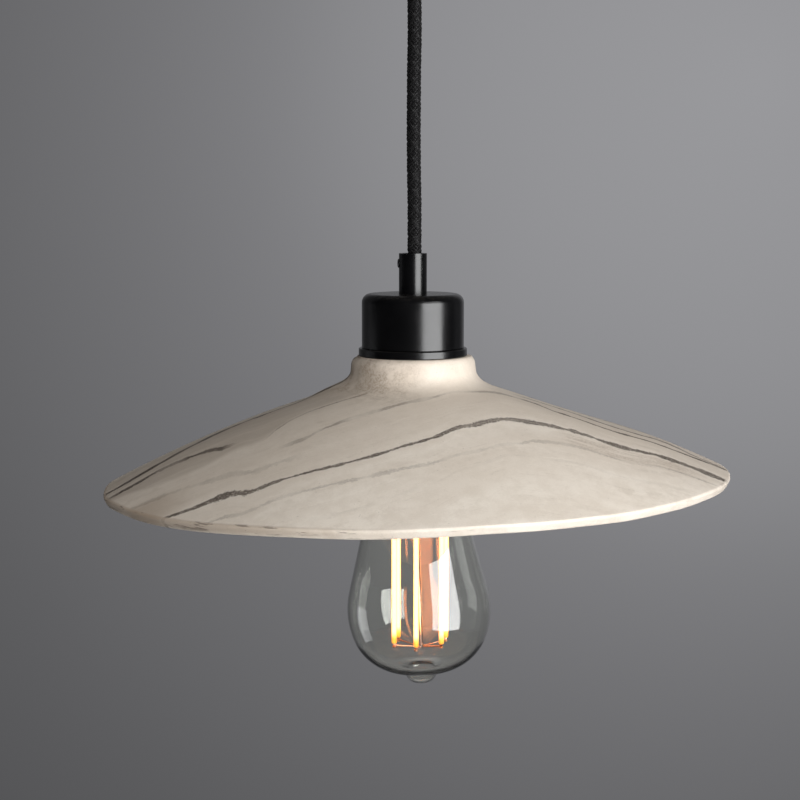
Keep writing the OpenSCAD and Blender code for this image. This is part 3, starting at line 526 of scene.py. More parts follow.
# The main vein's course over the shade, its half width, and how far the other sheets
# lie behind it, in millimetres against the side distance
VEIN_COURSE = ((-150, -99), (-101, -95.6), (-90, -96.2), (-75, -95), (-66, -98.2),
               (-56.5, -96.2), (-30, -93.2), (-17, -89.8), (-4, -83.8), (6.5, -78.4),
               (18.4, -68), (26, -63.6), (34, -57), (40, -53.6), (49, -52), (68, -50.2),
               (86.5, -52.4), (96, -49.6), (106, -45.4), (125, -43), (150, -42.5))
VEIN_HALF_WIDTH = ((-150, 0.8), (-112, 1.0), (-90, 1.3), (-80, 2.4), (-73, 3.4), (-66, 3.0),
                   (-60, 1.4), (0, 1.4), (15, 1.9), (35, 2.5), (75, 2.6), (100, 3.3),
                   (150, 2.8))
FAINT_OFFSET = ((-150, -16), (-74, -17), (-64, -14.5), (-40, -13.5), (-26, -14), (0, -18),
                (27, -23.5), (40, -24), (50, -19.5), (73, -17), (150, -15))
LOW_OFFSET = ((-150, 24), (-99, 22), (-78, 18), (-62, 16), (0, 13), (150, 13))
UPPER_OFFSET = ((-150, 26), (-49, 30), (-41, 34), (-37, 36), (-22, 39), (7, 38.5), (51, 32),
                (59, 26.5), (64, 24), (119, 23.5), (132, 27), (150, 32))
RIDGE_OFFSET = ((-150, 46), (20, 44), (75, 37), (92, 34.4), (101, 33.7), (111, 38),
                (120, 35.5), (128, 31.5), (150, 33))
SECOND_OFFSET = ((-150, 55), (-119, 56.5), (-112, 58.5), (-94, 58.8), (-86, 56), (-79, 51.5),
                 (-60, 52), (150, 58))
EDGE_OFFSET = ((-150, 68), (-130, 70), (-114, 72.5), (-106, 77.5), (-93, 86), (-81, 91),
               (-50, 91), (150, 92))
SHADOW_OFFSET = ((-150, 50), (-126, 46), (-107, 36), (-92, 36), (-78, 41), (-65, 45),
                 (-58, 53), (-45, 61), (0, 64), (150, 80))


def marbled_clay():
    """Cream clay with brown-black sheets through it, under a satin finish."""
    material, tree, shader = new_material("marbled clay", Specular_IOR_Level=0.25)
    at = in_mm(tree)
    x, y = add(tree, "SeparateXYZ", {0: at}).outputs[:2]
    course = drawn_line(tree, x, VEIN_COURSE, (-150, -110), (150, -10))
    field = calc(tree, "SUBTRACT", y, course)
    reach = spread(tree, calc(tree, "ABSOLUTE", field), 30.0, 140.0, 0.0, 36.0)
    bend = calc(tree, "SUBTRACT", noise(tree, at, 0.018, 2.0), 0.5)
    field = calc(tree, "MULTIPLY_ADD", bend, reach, field)

    off_axis = add(tree, "VectorMath", {0: at, 1: LIP_MIDDLE}, operation="SUBTRACT").outputs[0]
    flat = add(tree, "VectorMath", {0: off_axis, 1: (1.0, 1.0, 0.0)},
               operation="MULTIPLY").outputs[0]
    from_axis = add(tree, "VectorMath", {0: flat}, operation="LENGTH").outputs["Value"]
    lip = spread(tree, from_axis, 138.7, 139.9)

    def all_of(*masks):
        return times(tree, *masks)

    def stain(colour, share, *masks):
        """Lays a colour over the clay where all the masks let it."""
        nonlocal tone
        tone = mix_colour(tree, times(tree, *masks, share), tone, srgb(*colour))

    def line(corners, low, high):
        """A line through its corners, over the shade's whole width."""
        return drawn_line(tree, x, corners, (-150, low), (150, high))

    def left_of(full, end, rest=0.0):
        """A mask that is whole on the shade's left and fades between two side distances."""
        return spread(tree, x, full, end, 1.0, rest)

    def streaks(across, lengthwise, seed, low, high, detail=3.0):
        """Long streaks that follow the sheets."""
        v = add(tree, "CombineXYZ", {0: times(tree, field, across),
                                     1: times(tree, x, lengthwise), 2: seed}).outputs[0]
        return spread(tree, noise(tree, v, 1.0, detail, 0.55), low, high)

    def between(value, start, full, fade, end):
        """A mask that is whole from full to fade."""
        return all_of(spread(tree, value, start, full), spread(tree, value, fade, end, 1.0, 0.0))

    grain = spread(tree, noise(tree, at, 1.0, 4.0, 0.8), 0.42, 0.6)
    mottle = spread(tree, noise(tree, at, 0.13, 5.0, 0.7), 0.38, 0.64)
    tone = mix_colour(tree, streaks(0.045, 0.008, 1.0, 0.3, 0.7),
                      srgb(*DULL_CREAM), srgb(*CREAM))
    stain(MOTTLED_CREAM, 0.4, mottle)
    behind = spread(tree, field, -1.0, 10.0)
    stain(REAR_CREAM, 0.42, behind)

    soft = all_of(streaks(0.1, 0.014, 4.0, 0.52, 0.76, 4.0), mottle,
                  calc(tree, "MULTIPLY_ADD", behind, 0.4, 0.45))
    stain(SOFT_STREAK, 0.5, soft)
    thin = all_of(streaks(0.7, 0.05, 8.0, 0.56, 0.74, 3.0), grain)
    stain(THIN_STREAK, 0.22, thin)
    fine = all_of(streaks(1.9, 0.14, 10.0, 0.58, 0.72, 2.0), grain, behind)
    stain(FINE_STREAK, 0.2, fine)
    pale = all_of(streaks(0.35, 0.03, 12.0, 0.6, 0.78), calc(tree, "SUBTRACT", 1.0, grain))
    stain(PALE_STREAK, 0.4, pale)

    shadow = line(SHADOW_OFFSET, 30, 90)
    into_it = calc(tree, "SUBTRACT", field, shadow)
    taupe = all_of(spread(tree, into_it, -2.0, 5.0), spread(tree, field, 86.0, 100.0, 1.0, 0.3),
                   left_of(-40.0, 0.0), streaks(0.12, 0.012, 16.0, 0.1, 0.6))
    stain(TAUPE, 0.42, taupe)
    start = all_of(between(field, -2.0, 4.0, 18.0, 28.0), left_of(-112.0, -86.0))
    stain(SANDY_BROWN, 0.55, start)
    under = all_of(between(field, -20.0, -14.0, -6.0, -2.0), between(x, 56.0, 72.0, 112.0, 130.0),
                   streaks(0.9, 0.05, 20.0, 0.36, 0.6),
                   calc(tree, "MULTIPLY_ADD", grain, 0.7, 0.3))
    stain(UNDER_VEIN, 0.6, under)

    half = line(VEIN_HALF_WIDTH, 0, 4)
    faint = line(FAINT_OFFSET, -30, 0)
    low = line(LOW_OFFSET, 0, 30)
    upper = line(UPPER_OFFSET, 10, 50)
    ridge = line(RIDGE_OFFSET, 30, 60)
    second = line(SECOND_OFFSET, 40, 70)
    edge = line(EDGE_OFFSET, 60, 100)
    right = spread(tree, x, 40.0, 62.0)
    far_left = left_of(-84.0, -74.0)
    fuzzy = calc(tree, "MULTIPLY_ADD", between(x, -86.0, -78.0, -64.0, -56.0), 2.4, 1.5)
    fuzzy = calc(tree, "MULTIPLY_ADD", spread(tree, x, 4.0, 30.0), 1.7, fuzzy)
    whole = spread(tree, right, 0.0, 1.0, 0.8, 0.15)
    bold = calc(tree, "MULTIPLY_ADD", right, 0.5, 0.5)
    veins = (
        # Where the sheet lies in the field, half its width, how far it wanders, how
        # rough its edge is, how broken it is, darkness, how pale its core, seed
        (0.0, half, 0.5, fuzzy, 0.1, 0.95, all_of(between(x, 8.0, 22.0, 66.0, 86.0), 0.2), 3.0),
        (faint, 1.4, 1.2, 3.0, 0.7, 0.3, 0.0, 11.0),
        (-34.0, 1.2, 6.0, 3.4, 0.9, 0.07, 0.0, 13.0),
        (low, 2.2, 1.5, 4.5, 0.6, all_of(left_of(-60.0, -42.0), 0.28), 0.0, 5.0),
        (shadow, 1.1, 0.6, 1.6, 0.5, all_of(between(x, -66.0, -54.0, -24.0, -12.0), 0.7), 0.0, 7.0),
        (upper, 1.8, 1.0, 1.6, whole, all_of(bold, spread(tree, x, -58.0, -46.0)), 0.0, 17.0),
        (ridge, 2.0, 0.8, 1.3, 0.2, right, 0.0, 23.0),
        (second, 2.7, 0.8, 3.4, 0.4, far_left, 0.1, 29.0),
        (56.0, 2.0, 3.0, 1.6, 0.3, all_of(right, 0.8), 0.0, 30.0),
        (edge, 3.2, 0.8, 0.9, 0.1, 1.0, 0.0, 31.0),
        (112.0, 1.0, 8.0, 2.6, 0.9, 0.5, 0.0, 37.0),
        (141.0, 1.8, 9.0, 1.8, 0.3, 0.8, 0.4, 41.0),
        (158.0, 1.2, 9.0, 3.0, 0.9, 0.45, 0.0, 43.0),
        (186.0, 1.3, 10.0, 2.0, 0.6, 0.65, 0.0, 47.0),
    )
    shown = spread(tree, lip, 0.0, 1.0, 1.0, 0.3)
    for centre, width, wander, shake, breaks, dark, core, seed in veins:
        mask = use(tree, CLAY_VEIN, Vector=at, Field=field, Along=x, Seed=seed, Centre=centre,
                   Half_width=width, Wander=wander, Grain=shake, Breaks=breaks,
                   Hollow=core)["Mask"]
        stain(VEIN_BROWN, shown, mask, dark)

    # Painted shade: the lip browner on its left, fading out towards the right
    stain(LEFT_LIP_SHADE, 0.5, lip, left_of(-70.0, 10.0))
    level = add(tree, "VectorMath", {0: at, 1: (0.05, 0.05, 0.5)},
                operation="MULTIPLY").outputs[0]
    smear = all_of(spread(tree, noise(tree, level, 1.0, 4.0, 0.7), 0.56, 0.64),
                   lip, left_of(-20.0, 50.0, 0.25))
    stain(EDGE_SMEAR, 0.75, smear)
    # Brown smudges round the neck, on its left half only: partly real smudges, partly painted shade
    # on the side away from the key light
    neck_smudge_and_shade = all_of(spread(tree, from_axis, 29.0, 52.0, 1.0, 0.0), left_of(-12.0, 10.0),
                     spread(tree, noise(tree, at, 0.14, 4.0, 0.7), 0.36, 0.6),
                     calc(tree, "MULTIPLY_ADD", grain, 0.65, 0.35))
    stain(NECK_SMUDGE_AND_SHADE, 0.7, neck_smudge_and_shade)
    speckle = spread(tree, noise(tree, at, 1.9, 3.0, 0.8), 0.38, 0.62)
    stain(SPECKLE, 0.1, speckle)

    cells = add(tree, "TexVoronoi", {"Vector": at, "Scale": 0.42}).outputs["Distance"]
    rare = spread(tree, noise(tree, at, 0.12, 2.0), 0.5, 0.62)
    dots = all_of(spread(tree, cells, 0.03, 0.12, 1.0, 0.0), rare)
    stain(DARK_DOT, 0.6, dots)
    feed(tree, tone, shader.inputs["Base Color"])

    wash = noise(tree, at, 0.05, 3.0)
    feed(tree, spread(tree, wash, 0.3, 0.7, 0.5, 0.64), shader.inputs["Roughness"])
    skin = noise(tree, at, 0.9, 3.0, 0.6)
    height = calc(tree, "SUBTRACT", times(tree, skin, 0.4), dots)
    feed(tree, bump(tree, height, 0.35, 0.15 * MM), shader.inputs["Normal"])
    return material


# The height in millimetres at which the filaments end
LIT_END_Z = -346.6


def glowing(name, colour, strength, lit, low_end, fade, **sockets):
    """A glowing surface that fades to amber between two heights above its lower end."""
    material, tree, shader = new_material(name, Base_Color=colour,
                                          Emission_Strength=strength, **sockets)
    z = add(tree, "SeparateXYZ", {0: in_mm(tree)}).outputs[2]
    dim = spread(tree, z, LIT_END_Z + fade[0], LIT_END_Z + fade[1], 1.0, 0.0)
    feed(tree, mix_colour(tree, dim, lit, low_end), shader.inputs["Emission Color"])
    return material


BLACK_METAL = satin_metal("black powder coat", srgb(7, 7, 8), 0.0, rough=(0.2, 0.26))
STEEL = satin_metal("zinc plated steel", srgb(186, 188, 190), 1.0, rough=(0.25, 0.45),
                    grain=0.8, depth=0.01)
NICKEL = satin_metal("nickel plate", srgb(200, 196, 186), 1.0, rough=(0.15, 0.3),
                     grain=1.2, depth=0.003)
BRASS = satin_metal("brass", srgb(206, 168, 96), 1.0, rough=(0.2, 0.38), grain=0.9)
COPPER_WIRE = satin_metal("copper wire", srgb(205, 160, 132), 1.0, rough=(0.22, 0.36),
                          grain=0.5, depth=0.002, dust=0.0)
PORCELAIN = moulded("porcelain", srgb(226, 222, 212), rough=(0.25, 0.35), coat=0.4)
BROWN_CORE = moulded("brown core cover", srgb(92, 52, 30))
BLUE_CORE = moulded("blue core cover", srgb(34, 82, 160))
EARTH_CORE = earth_core_cover()
BLOCK_PLASTIC = moulded("terminal block plastic", srgb(222, 218, 206))
BLACK_PLASTIC = moulded("black plastic", srgb(16, 16, 17), rough=(0.3, 0.4))
RUBBER = moulded("washer rubber", srgb(44, 43, 42), rough=(0.6, 0.75))
INSULATOR = moulded("black glass insulator", srgb(14, 13, 16), rough=(0.1, 0.2))
BOARD_GREEN = moulded("driver board", srgb(30, 84, 48))
CLOTH = black_cloth()
BULB_GLASS = clear_glass("bulb glass", srgb(251, 252, 248))
STEM_GLASS = clear_glass("stem glass", srgb(250, 251, 248), 0.02)
CLAY = marbled_clay()
LIT_STRIP = glowing("lit strip", srgb(250, 215, 140), strength=8.5, lit=(1.0, 0.38, 0.17, 1.0),
                    low_end=(0.115, 0.048, 0.004, 1.0), fade=(2.6, 6.0), Roughness=0.5)
PHOSPHOR_COAT = glowing("phosphor coat", srgb(246, 190, 70), strength=2.0,
                        lit=(1.0, 0.47, 0.19, 1.0), low_end=(0.42, 0.16, 0.01, 1.0),
                        fade=(1.6, 5.4), Roughness=0.4, Alpha=0.5)

SLOT_MATERIALS = {
    "black_metal": BLACK_METAL, "ceramic": CLAY, "porcelain": PORCELAIN, "flex_cloth": CLOTH,
    "brown_core": BROWN_CORE, "blue_core": BLUE_CORE, "earth_core": EARTH_CORE,
    "zinc_steel": STEEL, "nickel_shell": NICKEL, "brass": BRASS, "block_plastic": BLOCK_PLASTIC,
    "black_plastic": BLACK_PLASTIC, "washer_rubber": RUBBER, "bulb_glass": BULB_GLASS,
    "stem_glass": STEM_GLASS, "filament": LIT_STRIP, "lead_wire": COPPER_WIRE,
    "board_green": BOARD_GREEN, "insulator_black": INSULATOR,
}


def dress_frame():
    """Every node of the frame that stays gets the material of its slot."""
    for part in frame["record"]["subparts"]:
        node = frame["nodes"][part["node"]]
        material = SLOT_MATERIALS[part["material_slot"]]
        node.data.materials.clear()
        node.data.materials.append(material)


# Flex

# In millimetres: how far right of the lamp's axis the flex hangs, its radius, and the
# radii of the sheath in it and of one thread
FLEX_X = 0.7
FLEX_R = 3.25
SHEATH_R = 2.85
THREAD_R = 0.42

# How far the braid and the sheath under it reach into the grips' mouths
BRAID_HELD = 1.5
SHEATH_HELD = 3.9

# Share of the way down, and how far the flex has swayed there
FLEX_BENDS = ((0.1, -0.1), (0.22, 0.0), (0.4, -0.3), (0.58, -0.4), (0.68, -0.3), (0.84, 0.0))


def flex_line():
    """The middle of the flex from the ceiling fitting down to the lamp, in millimetres."""
    run = ROSE_MOUTH_Z - LAMP_MOUTH_Z
    corners = [(FLEX_X, ROSE_MOUTH_Z + BRAID_HELD)]
    corners += [(FLEX_X + shift, ROSE_MOUTH_Z - share * run) for share, shift in FLEX_BENDS]
    corners += [(FLEX_X, LAMP_MOUTH_Z - BRAID_HELD)]
    return corners


def flex_x_at(z):
    """Where the flex's middle lies at a height; within the grips it is straight."""
    line = flex_line()
    for (xa, za), (xb, zb) in zip(line, line[1:]):
        if zb <= z <= za:
            t = (za - z) / (za - zb)
            return xa + (xb - xa) * t * t * (3 - 2 * t)
    return FLEX_X


def braid(top, low):
    """24 threads braided over and under round the flex between two heights."""
    threads_each_way, turn_length, steps_per_crossing, lift = 12, 21.0, 4, 0.16
    strands = bpy.data.curves.new("braid", "CURVE")
    strands.dimensions = "3D"
    strands.bevel_depth = THREAD_R * MM
    strands.bevel_resolution = 0
    strands.use_fill_caps = True
    crossing = turn_length / (2 * threads_each_way)
    count = int((top - low) / crossing * steps_per_crossing)
    for way in (1, -1):
        for thread in range(threads_each_way):
            line = strands.splines.new("POLY")
            line.points.add(count)
            for i in range(count + 1):
                z = top - (top - low) * i / count
                angle = 2 * math.pi * (thread / threads_each_way + way * (top - z) / turn_length)
                over = math.sin(math.pi * ((top - z) / crossing / 2 + thread * 0.5 + way * 0.25))
                r = FLEX_R - THREAD_R - lift + lift * over
                line.points[i].co = ((flex_x_at(z) + r * math.cos(angle)) * MM,
                                     r * math.sin(angle) * MM, z * MM, 1)
    cover = bpy.data.objects.new("braid", strands)
    bpy.context.scene.collection.objects.link(cover)
    select_only(cover)
    bpy.ops.object.convert(target="MESH")
    return bpy.context.object


def sheathed_run(name, top, low, beyond, rings):
    """The sheath under the braid as a closed tube that reaches beyond it at both ends,
    with the braid on it. Returns the piece and the points of its middle line."""
    cover = braid(top, low)
    deselect_all()
    start = top + beyond
    bpy.ops.mesh.primitive_circle_add(
        vertices=24, radius=SHEATH_R * MM, fill_type="NGON",
        location=(flex_x_at(start) * MM, 0, start * MM))
    bpy.ops.object.mode_set(mode="EDIT")
    before = Vector((flex_x_at(start), 0, start)) * MM
    path = [tuple(before)]
    for i in range(1, rings + 1):
        z = start - (top - low + 2 * beyond) * i / rings
        after = Vector((flex_x_at(z), 0, z)) * MM
        bpy.ops.mesh.extrude_region_move(TRANSFORM_OT_translate={"value": after - before})
        path.append(tuple(after))
        before = after
    bpy.ops.mesh.select_all(action="SELECT")
    bpy.ops.mesh.normals_make_consistent(inside=False)
    bpy.ops.object.mode_set(mode="OBJECT")
    sheath = bpy.context.object
    settle(sheath)
    run = joined([sheath, cover], name)
    smooth(run, 60)
    return run, path


def braid_flex():
    """The free flex that hangs between the two grips."""
    run, path = sheathed_run("braided_flex", ROSE_MOUTH_Z + BRAID_HELD,
                             LAMP_MOUTH_Z - BRAID_HELD, SHEATH_HELD - BRAID_HELD, 44)
    done(run, CLOTH, "hanging_flex", ["flex"])


def braid_held_ends():
    """The two ends of the flex that the grips hold, each cut square at its cores."""
    for name, node, body, top, low in (
            ("held_flex_rose", "rose_flex_end", "ceiling_rose", -17.9, -39.9),
            ("held_flex_lamp", "lamp_flex_end", "lamp", -172.1, -194.6)):
        run = sheathed_run(name, top, low, beyond=0.1, rings=2)[0]
        done(run, CLOTH, body, [node])


# Screws

# Where the screws sit, in millimetres
CUP_WALL_X = 50
CUP_SCREW_Z = -9
EARTH_SCREW_X = -14
EARTH_SCREW_Z = -2.3
GRIP_WALL_X = -6.24
ROSE_GRUB_Z = -38.5
LAMP_GRUB_Z = -173.5
CLAMP_X = (10.75, 18.25)
CLAMP_Y = (-4, 4)
CLAMP_Z = -11.35
HOLDER_SCREW_Y = -3.35
HOLDER_SCREW_Z = -200.7

# Side place of the holder's two screws, and the angle that each was left at
HOLDER_SCREWS = ((-7.5, 20), (13.05, -35))


def screw(name, head_r, head_h, shank_r, shank_l, slot):
    """A domed screw that points up, with a slot across its head and a thread under it."""
    pitch, thread_depth = 0.7, 0.22
    rim_h = head_h * 0.35
    outline = [(0.0, head_h), (head_r * 0.4, head_h * 0.97), (head_r * 0.7, head_h * 0.85),
               (head_r * 0.9, head_h * 0.62), (head_r, rim_h), (head_r, 0.0)]
    outline += [(shank_r, -0.05)]
    turns = int((shank_l - 0.4) / pitch)
    for i in range(turns):
        crest = -0.15 - pitch * i
        outline += [(shank_r, crest), (shank_r - thread_depth, crest - pitch / 2)]
    outline += [(shank_r, -shank_l + 0.3), (shank_r - 0.3, -shank_l), (0.0, -shank_l)]
    made = turned(name, outline, 32, closed=False)
    cut(made, block(0, 0, head_h, long=2.4 * head_r, wide=slot, tall=1.1 * head_h))
    smooth(made, 35)
    return made


def drive_cup_screws():
    """The two screws that hold the cup on its bracket, one at each side."""
    right = screw("cup_side_screw_heads", head_r=3.5, head_h=2.2, shank_r=2.0, shank_l=7.5,
                  slot=0.9)
    left = copy_of(right, "other_side_screw")
    place(right, at_point(CUP_WALL_X, 0, CUP_SCREW_Z) @ turn(90, "Y") @ turn(35, "Z"))
    place(left, at_point(-CUP_WALL_X, 0, CUP_SCREW_Z) @ turn(-90, "Y") @ turn(-20, "Z"))
    done(joined([right, left], "cup_side_screw_heads"), BLACK_METAL, "ceiling_rose",
         ["cup_side_screws"])


def drive_earth_screw():
    """The earth screw, its head down under the bracket."""
    earth = screw("earth_screw", head_r=3.8, head_h=2.0, shank_r=2.0, shank_l=2.2, slot=0.9)
    place(earth, at_point(EARTH_SCREW_X, 0, EARTH_SCREW_Z) @ turn(180, "X") @ turn(25, "Z"))
    done(earth, BRASS, "ceiling_rose", ["earth_terminal_screw"])


def drive_grub_screws():
    """The screw at the left of each cord grip that holds the flex."""
    for name, node, body, z in (
            ("grub_screw_rose", "rose_grip_screw", "ceiling_rose", ROSE_GRUB_Z),
            ("grub_screw_lamp", "lamp_grip_screw", "lamp", LAMP_GRUB_Z)):
        grub = screw(name, head_r=2.0, head_h=0.75, shank_r=1.9, shank_l=3.4, slot=0.5)
        place(grub, at_point(GRIP_WALL_X, 0, z) @ turn(-90, "Y") @ turn(60, "Z"))
        done(grub, BLACK_PLASTIC, body, [node])


def drive_clamp_screws():
    """The four screws under the terminal block that clamp the cores in its tubes."""
    clamps = []
    for x in CLAMP_X:
        for y in CLAMP_Y:
            clamp = screw("clamp_screw", head_r=1.28, head_h=0.5, shank_r=1.25, shank_l=2.5,
                          slot=0.5)
            place(clamp, at_point(x, y, CLAMP_Z) @ turn(180, "X") @ turn(15 * x + y, "Z"))
            clamps.append(clamp)
    done(joined(clamps, "clamp_screws"), STEEL, "ceiling_rose",
         ["terminal_clamp_screws"])


def drive_holder_screws():
    """The screws of the lampholder's two terminals, their heads to the front."""
    holders = []
    for x, angle in HOLDER_SCREWS:
        holder = screw("holder_screw", head_r=1.18, head_h=0.5, shank_r=1.15, shank_l=2.1,
                       slot=0.45)
        place(holder, at_point(x, HOLDER_SCREW_Y, HOLDER_SCREW_Z)
              @ turn(90, "X") @ turn(angle, "Z"))
        holders.append(holder)
    done(joined(holders, "holder_screws"), STEEL, "lamp",
         ["holder_terminal_screws"])


# Lampholder

SHADE_RING_PITCH = 2.5
BULB_CAP_PITCH = 3.629


def cut_skirt_thread():
    """The skirt that the shade's ring is screwed on, with its collar."""
    sleeve = threaded_sleeve("thread", crest=19.48, root=18.7, wall=1.1, low=-243.9,
                             high=-207.0, pitch=SHADE_RING_PITCH)
    collar = turned("collar", [(17.6, -205.5), (21.4, -205.5), (21.65, -205.8), (21.65, -211.3),
                               (18.2, -211.3), (17.6, -210.6)], 96)
    smooth(collar)
    smooth(sleeve, 50)
    skirt = joined([collar, sleeve], "threaded_skirt_skin")
    done(skirt, BLACK_METAL, "lamp", ["threaded_skirt"])


def rib_lower_ring():
    """The ring that holds the shade: a smooth flange above a ribbed grip."""
    outline = [(19.7, -225.1), (23.2, -225.1), (23.45, -225.4), (23.45, -226.7), (23.2, -227.0),
               (22.3, -227.1), (22.1, -227.4), (21.7, -230.5), (21.3, -230.95), (20.2, -230.95),
               (19.7, -230.4)]
    ribs, groove = 90, 0.974
    wall_r, grip_low, grip_top = 21.2, -230.99, -227.2
    ring = turned("ribbed_ring", outline, 2 * ribs)
    bpy.ops.object.mode_set(mode="EDIT")
    bpy.ops.mesh.select_all(action="DESELECT")
    bpy.ops.object.mode_set(mode="OBJECT")
    for v in ring.data.vertices:
        step = round(math.atan2(v.co.y, v.co.x) / math.pi * ribs)
        radius = math.hypot(v.co.x, v.co.y) / MM
        outside = radius > wall_r and grip_low < v.co.z / MM < grip_top
        v.select = outside and step % 2 == 1
    bpy.ops.object.mode_set(mode="EDIT")
    bpy.ops.transform.resize(value=(groove, groove, 1), center_override=(0, 0, 0))
    bpy.ops.object.mode_set(mode="OBJECT")
    smooth(ring, 25)
    done(ring, BLACK_METAL, "retaining_ring", ["lower_ring"])


def roll_screw_shell():
    """The holder's rolled shell that the bulb is screwed into."""
    shell = threaded_sleeve("rolled_screw_shell", crest=14.38, root=13.75, wall=0.35,
                            low=-241.1, high=-220.2, pitch=BULB_CAP_PITCH)
    smooth(shell, 50)
    done(shell, NICKEL, "lamp", ["screw_shell"])


def roll_bulb_cap():
    """The bulb's rolled screw cap, with its shoulder and the rim that holds the glass."""
    cap = threaded_sleeve("thread", crest=12.98, root=12.1, wall=0.3, low=-245.5,
                          high=-230.0, pitch=BULB_CAP_PITCH)
    top = turned("shoulder", [(10.65, -226.75), (11.9, -227.3), (12.5, -228.2), (12.6, -230.4),
                              (12.2, -230.4), (12.1, -228.5), (11.6, -227.7), (10.65, -227.2)],
                 96)
    rim = turned("rim", [(12.35, -245.2), (12.75, -245.2), (12.98, -245.7), (12.98, -248.1),
                         (12.62, -248.15), (12.62, -246.0)], 96)
    smooth(top)
    smooth(rim)
    smooth(cap, 50)
    done(joined([top, rim, cap], "rolled_screw_cap"), NICKEL, "bulb",
         ["bulb_screw_cap"])


# Shade

# The turned form in millimetres and degrees; the roof falls from its start by a slope
# and a bow
SHADE_R = 140.76
SHADE_WALL = 5.4
RIM_WALL = 4.4
LIP_ROUND = 1.1
SHADE_LEAN = 1.6
SHADE_TIP = 0.5
NECK_R = 25.0
ROOF_START_R = 38.0
ROOF_START_Z = 14.8
ROOF_SLOPE = 0.292
ROOF_BOW = 0.00098
ROOF_END_R = SHADE_R - LIP_ROUND
HOLE_R = 20.2
POCKET_R = 25.8
NECK_WALL = 9.0
RIM_ANGLE = math.atan(ROOF_SLOPE + 2 * ROOF_BOW * (SHADE_R - ROOF_START_R))

# Where the clay was pressed: side and depth of the point, how far up, and how wide
SHADE_DENTS = (
    (-34, 2, 1.9, 22), (-50, 5, -0.7, 20), (66, 18, -2.2, 58), (-96, -88, -0.8, 62),
    (-20, -138, -0.35, 30), (30, -136, 0.3, 26), (84, -112, -0.3, 24), (120, -70, 0.3, 26),
    (-134, -28, -1.2, 36),
    (-60, 120, 0.4, 30), (40, 130, -0.4, 34), (-110, 84, -0.3, 26), (104, 90, 0.4, 30),
)


def lean(piece, degrees, pivot_z):
    """Leans a piece sideways, its right side going up, about a point on the axis."""
    pivot = Matrix.Translation((0, 0, pivot_z * MM))
    place(piece, pivot @ turn(-degrees, "Y") @ pivot.inverted())


def roof(r):
    """Depth of the roof below the neck's top at a radius."""
    return ROOF_START_Z + ROOF_SLOPE * (r - ROOF_START_R) + ROOF_BOW * (r - ROOF_START_R) ** 2


def under_roof(r):
    """The point inside the wall that lies straight behind a roof point."""
    a = math.atan(ROOF_SLOPE + 2 * ROOF_BOW * (r - ROOF_START_R))
    share = (r - ROOF_START_R) / (ROOF_END_R - ROOF_START_R)
    wall = SHADE_WALL + (RIM_WALL - SHADE_WALL) * share
    return (r - wall * math.sin(a), -roof(r) - wall * math.cos(a))


def rim_point(along, through):
    """A point in the rim: in from its end face, and down through its wall."""
    c, s = math.cos(RIM_ANGLE), math.sin(RIM_ANGLE)
    return (SHADE_R - along * c - through * s, -roof(SHADE_R) + along * s - through * c)


def press_clay(piece, x, y, rise, reach):
    """Lifts or sinks the clay round a point of the roof, as a potter's hand does."""
    select_only(piece)
    nearest = min(piece.data.vertices, key=lambda v: (
        (v.co.x / MM - x) ** 2 + (v.co.y / MM - y) ** 2 - v.co.z)).index
    bpy.ops.object.mode_set(mode="EDIT")
    bpy.ops.mesh.select_all(action="DESELECT")
    bpy.ops.object.mode_set(mode="OBJECT")
    piece.data.vertices[nearest].select = True
    bpy.ops.object.mode_set(mode="EDIT")
    bpy.ops.transform.translate(value=(0, 0, rise * MM), use_proportional_edit=True,
                                proportional_edit_falloff="SMOOTH",
                                proportional_size=reach * MM)
    bpy.ops.object.mode_set(mode="OBJECT")


def throw_shade():
    """The clay shade, turned round its own leaning axis and cut level at its neck."""
    rings = 46
    radii = [ROOF_START_R + (ROOF_END_R - ROOF_START_R) * i / rings for i in range(rings + 1)]
    rim = math.degrees(RIM_ANGLE)
    fillet_z = -(ROOF_START_Z - ROOF_SLOPE * (ROOF_START_R - 29.2))
    outline = [(HOLE_R - 4, 3.0), (NECK_R, 3.0)]
    outline += pulled((NECK_R, 0), (27.5, -0.8), (27.9, -3.75), 6)
    outline += pulled((28.3, -7.5), (29.2, fillet_z), (ROOF_START_R, -ROOF_START_Z), 10)
    outline += [(r, -roof(r)) for r in radii[1:]]
    outline += arc(*rim_point(LIP_ROUND, LIP_ROUND), LIP_ROUND, 75 - rim, -rim, 6)
    outline += arc(*rim_point(LIP_ROUND, RIM_WALL - LIP_ROUND), LIP_ROUND, -rim, -75 - rim, 6)
    outline += [under_roof(r) for r in radii[::-1]]
    outline += [(POCKET_R - 1.8, -NECK_WALL - 1), (HOLE_R - 4, -NECK_WALL - 1)]
    shade = turned("marbled_shade", outline, 288)
    place(shade, at_point(0, 0, SEAT_Z) @ turn(-SHADE_TIP, "X"))
    lean(shade, SHADE_LEAN, SEAT_Z)
    for x, y, rise, reach in SHADE_DENTS:
        press_clay(shade, x, y, rise, reach)
    cut(shade, drum(60, SEAT_Z, SEAT_Z + 20))
    cut(shade, drum(HOLE_R, SEAT_Z - 100, SEAT_Z + 100))
    cut(shade, drum(POCKET_R, SEAT_Z - 21, SEAT_Z - NECK_WALL))
    smooth(shade, 40)
    done(shade, CLAY, "hanging_shade", ["shade"])


# Bulb

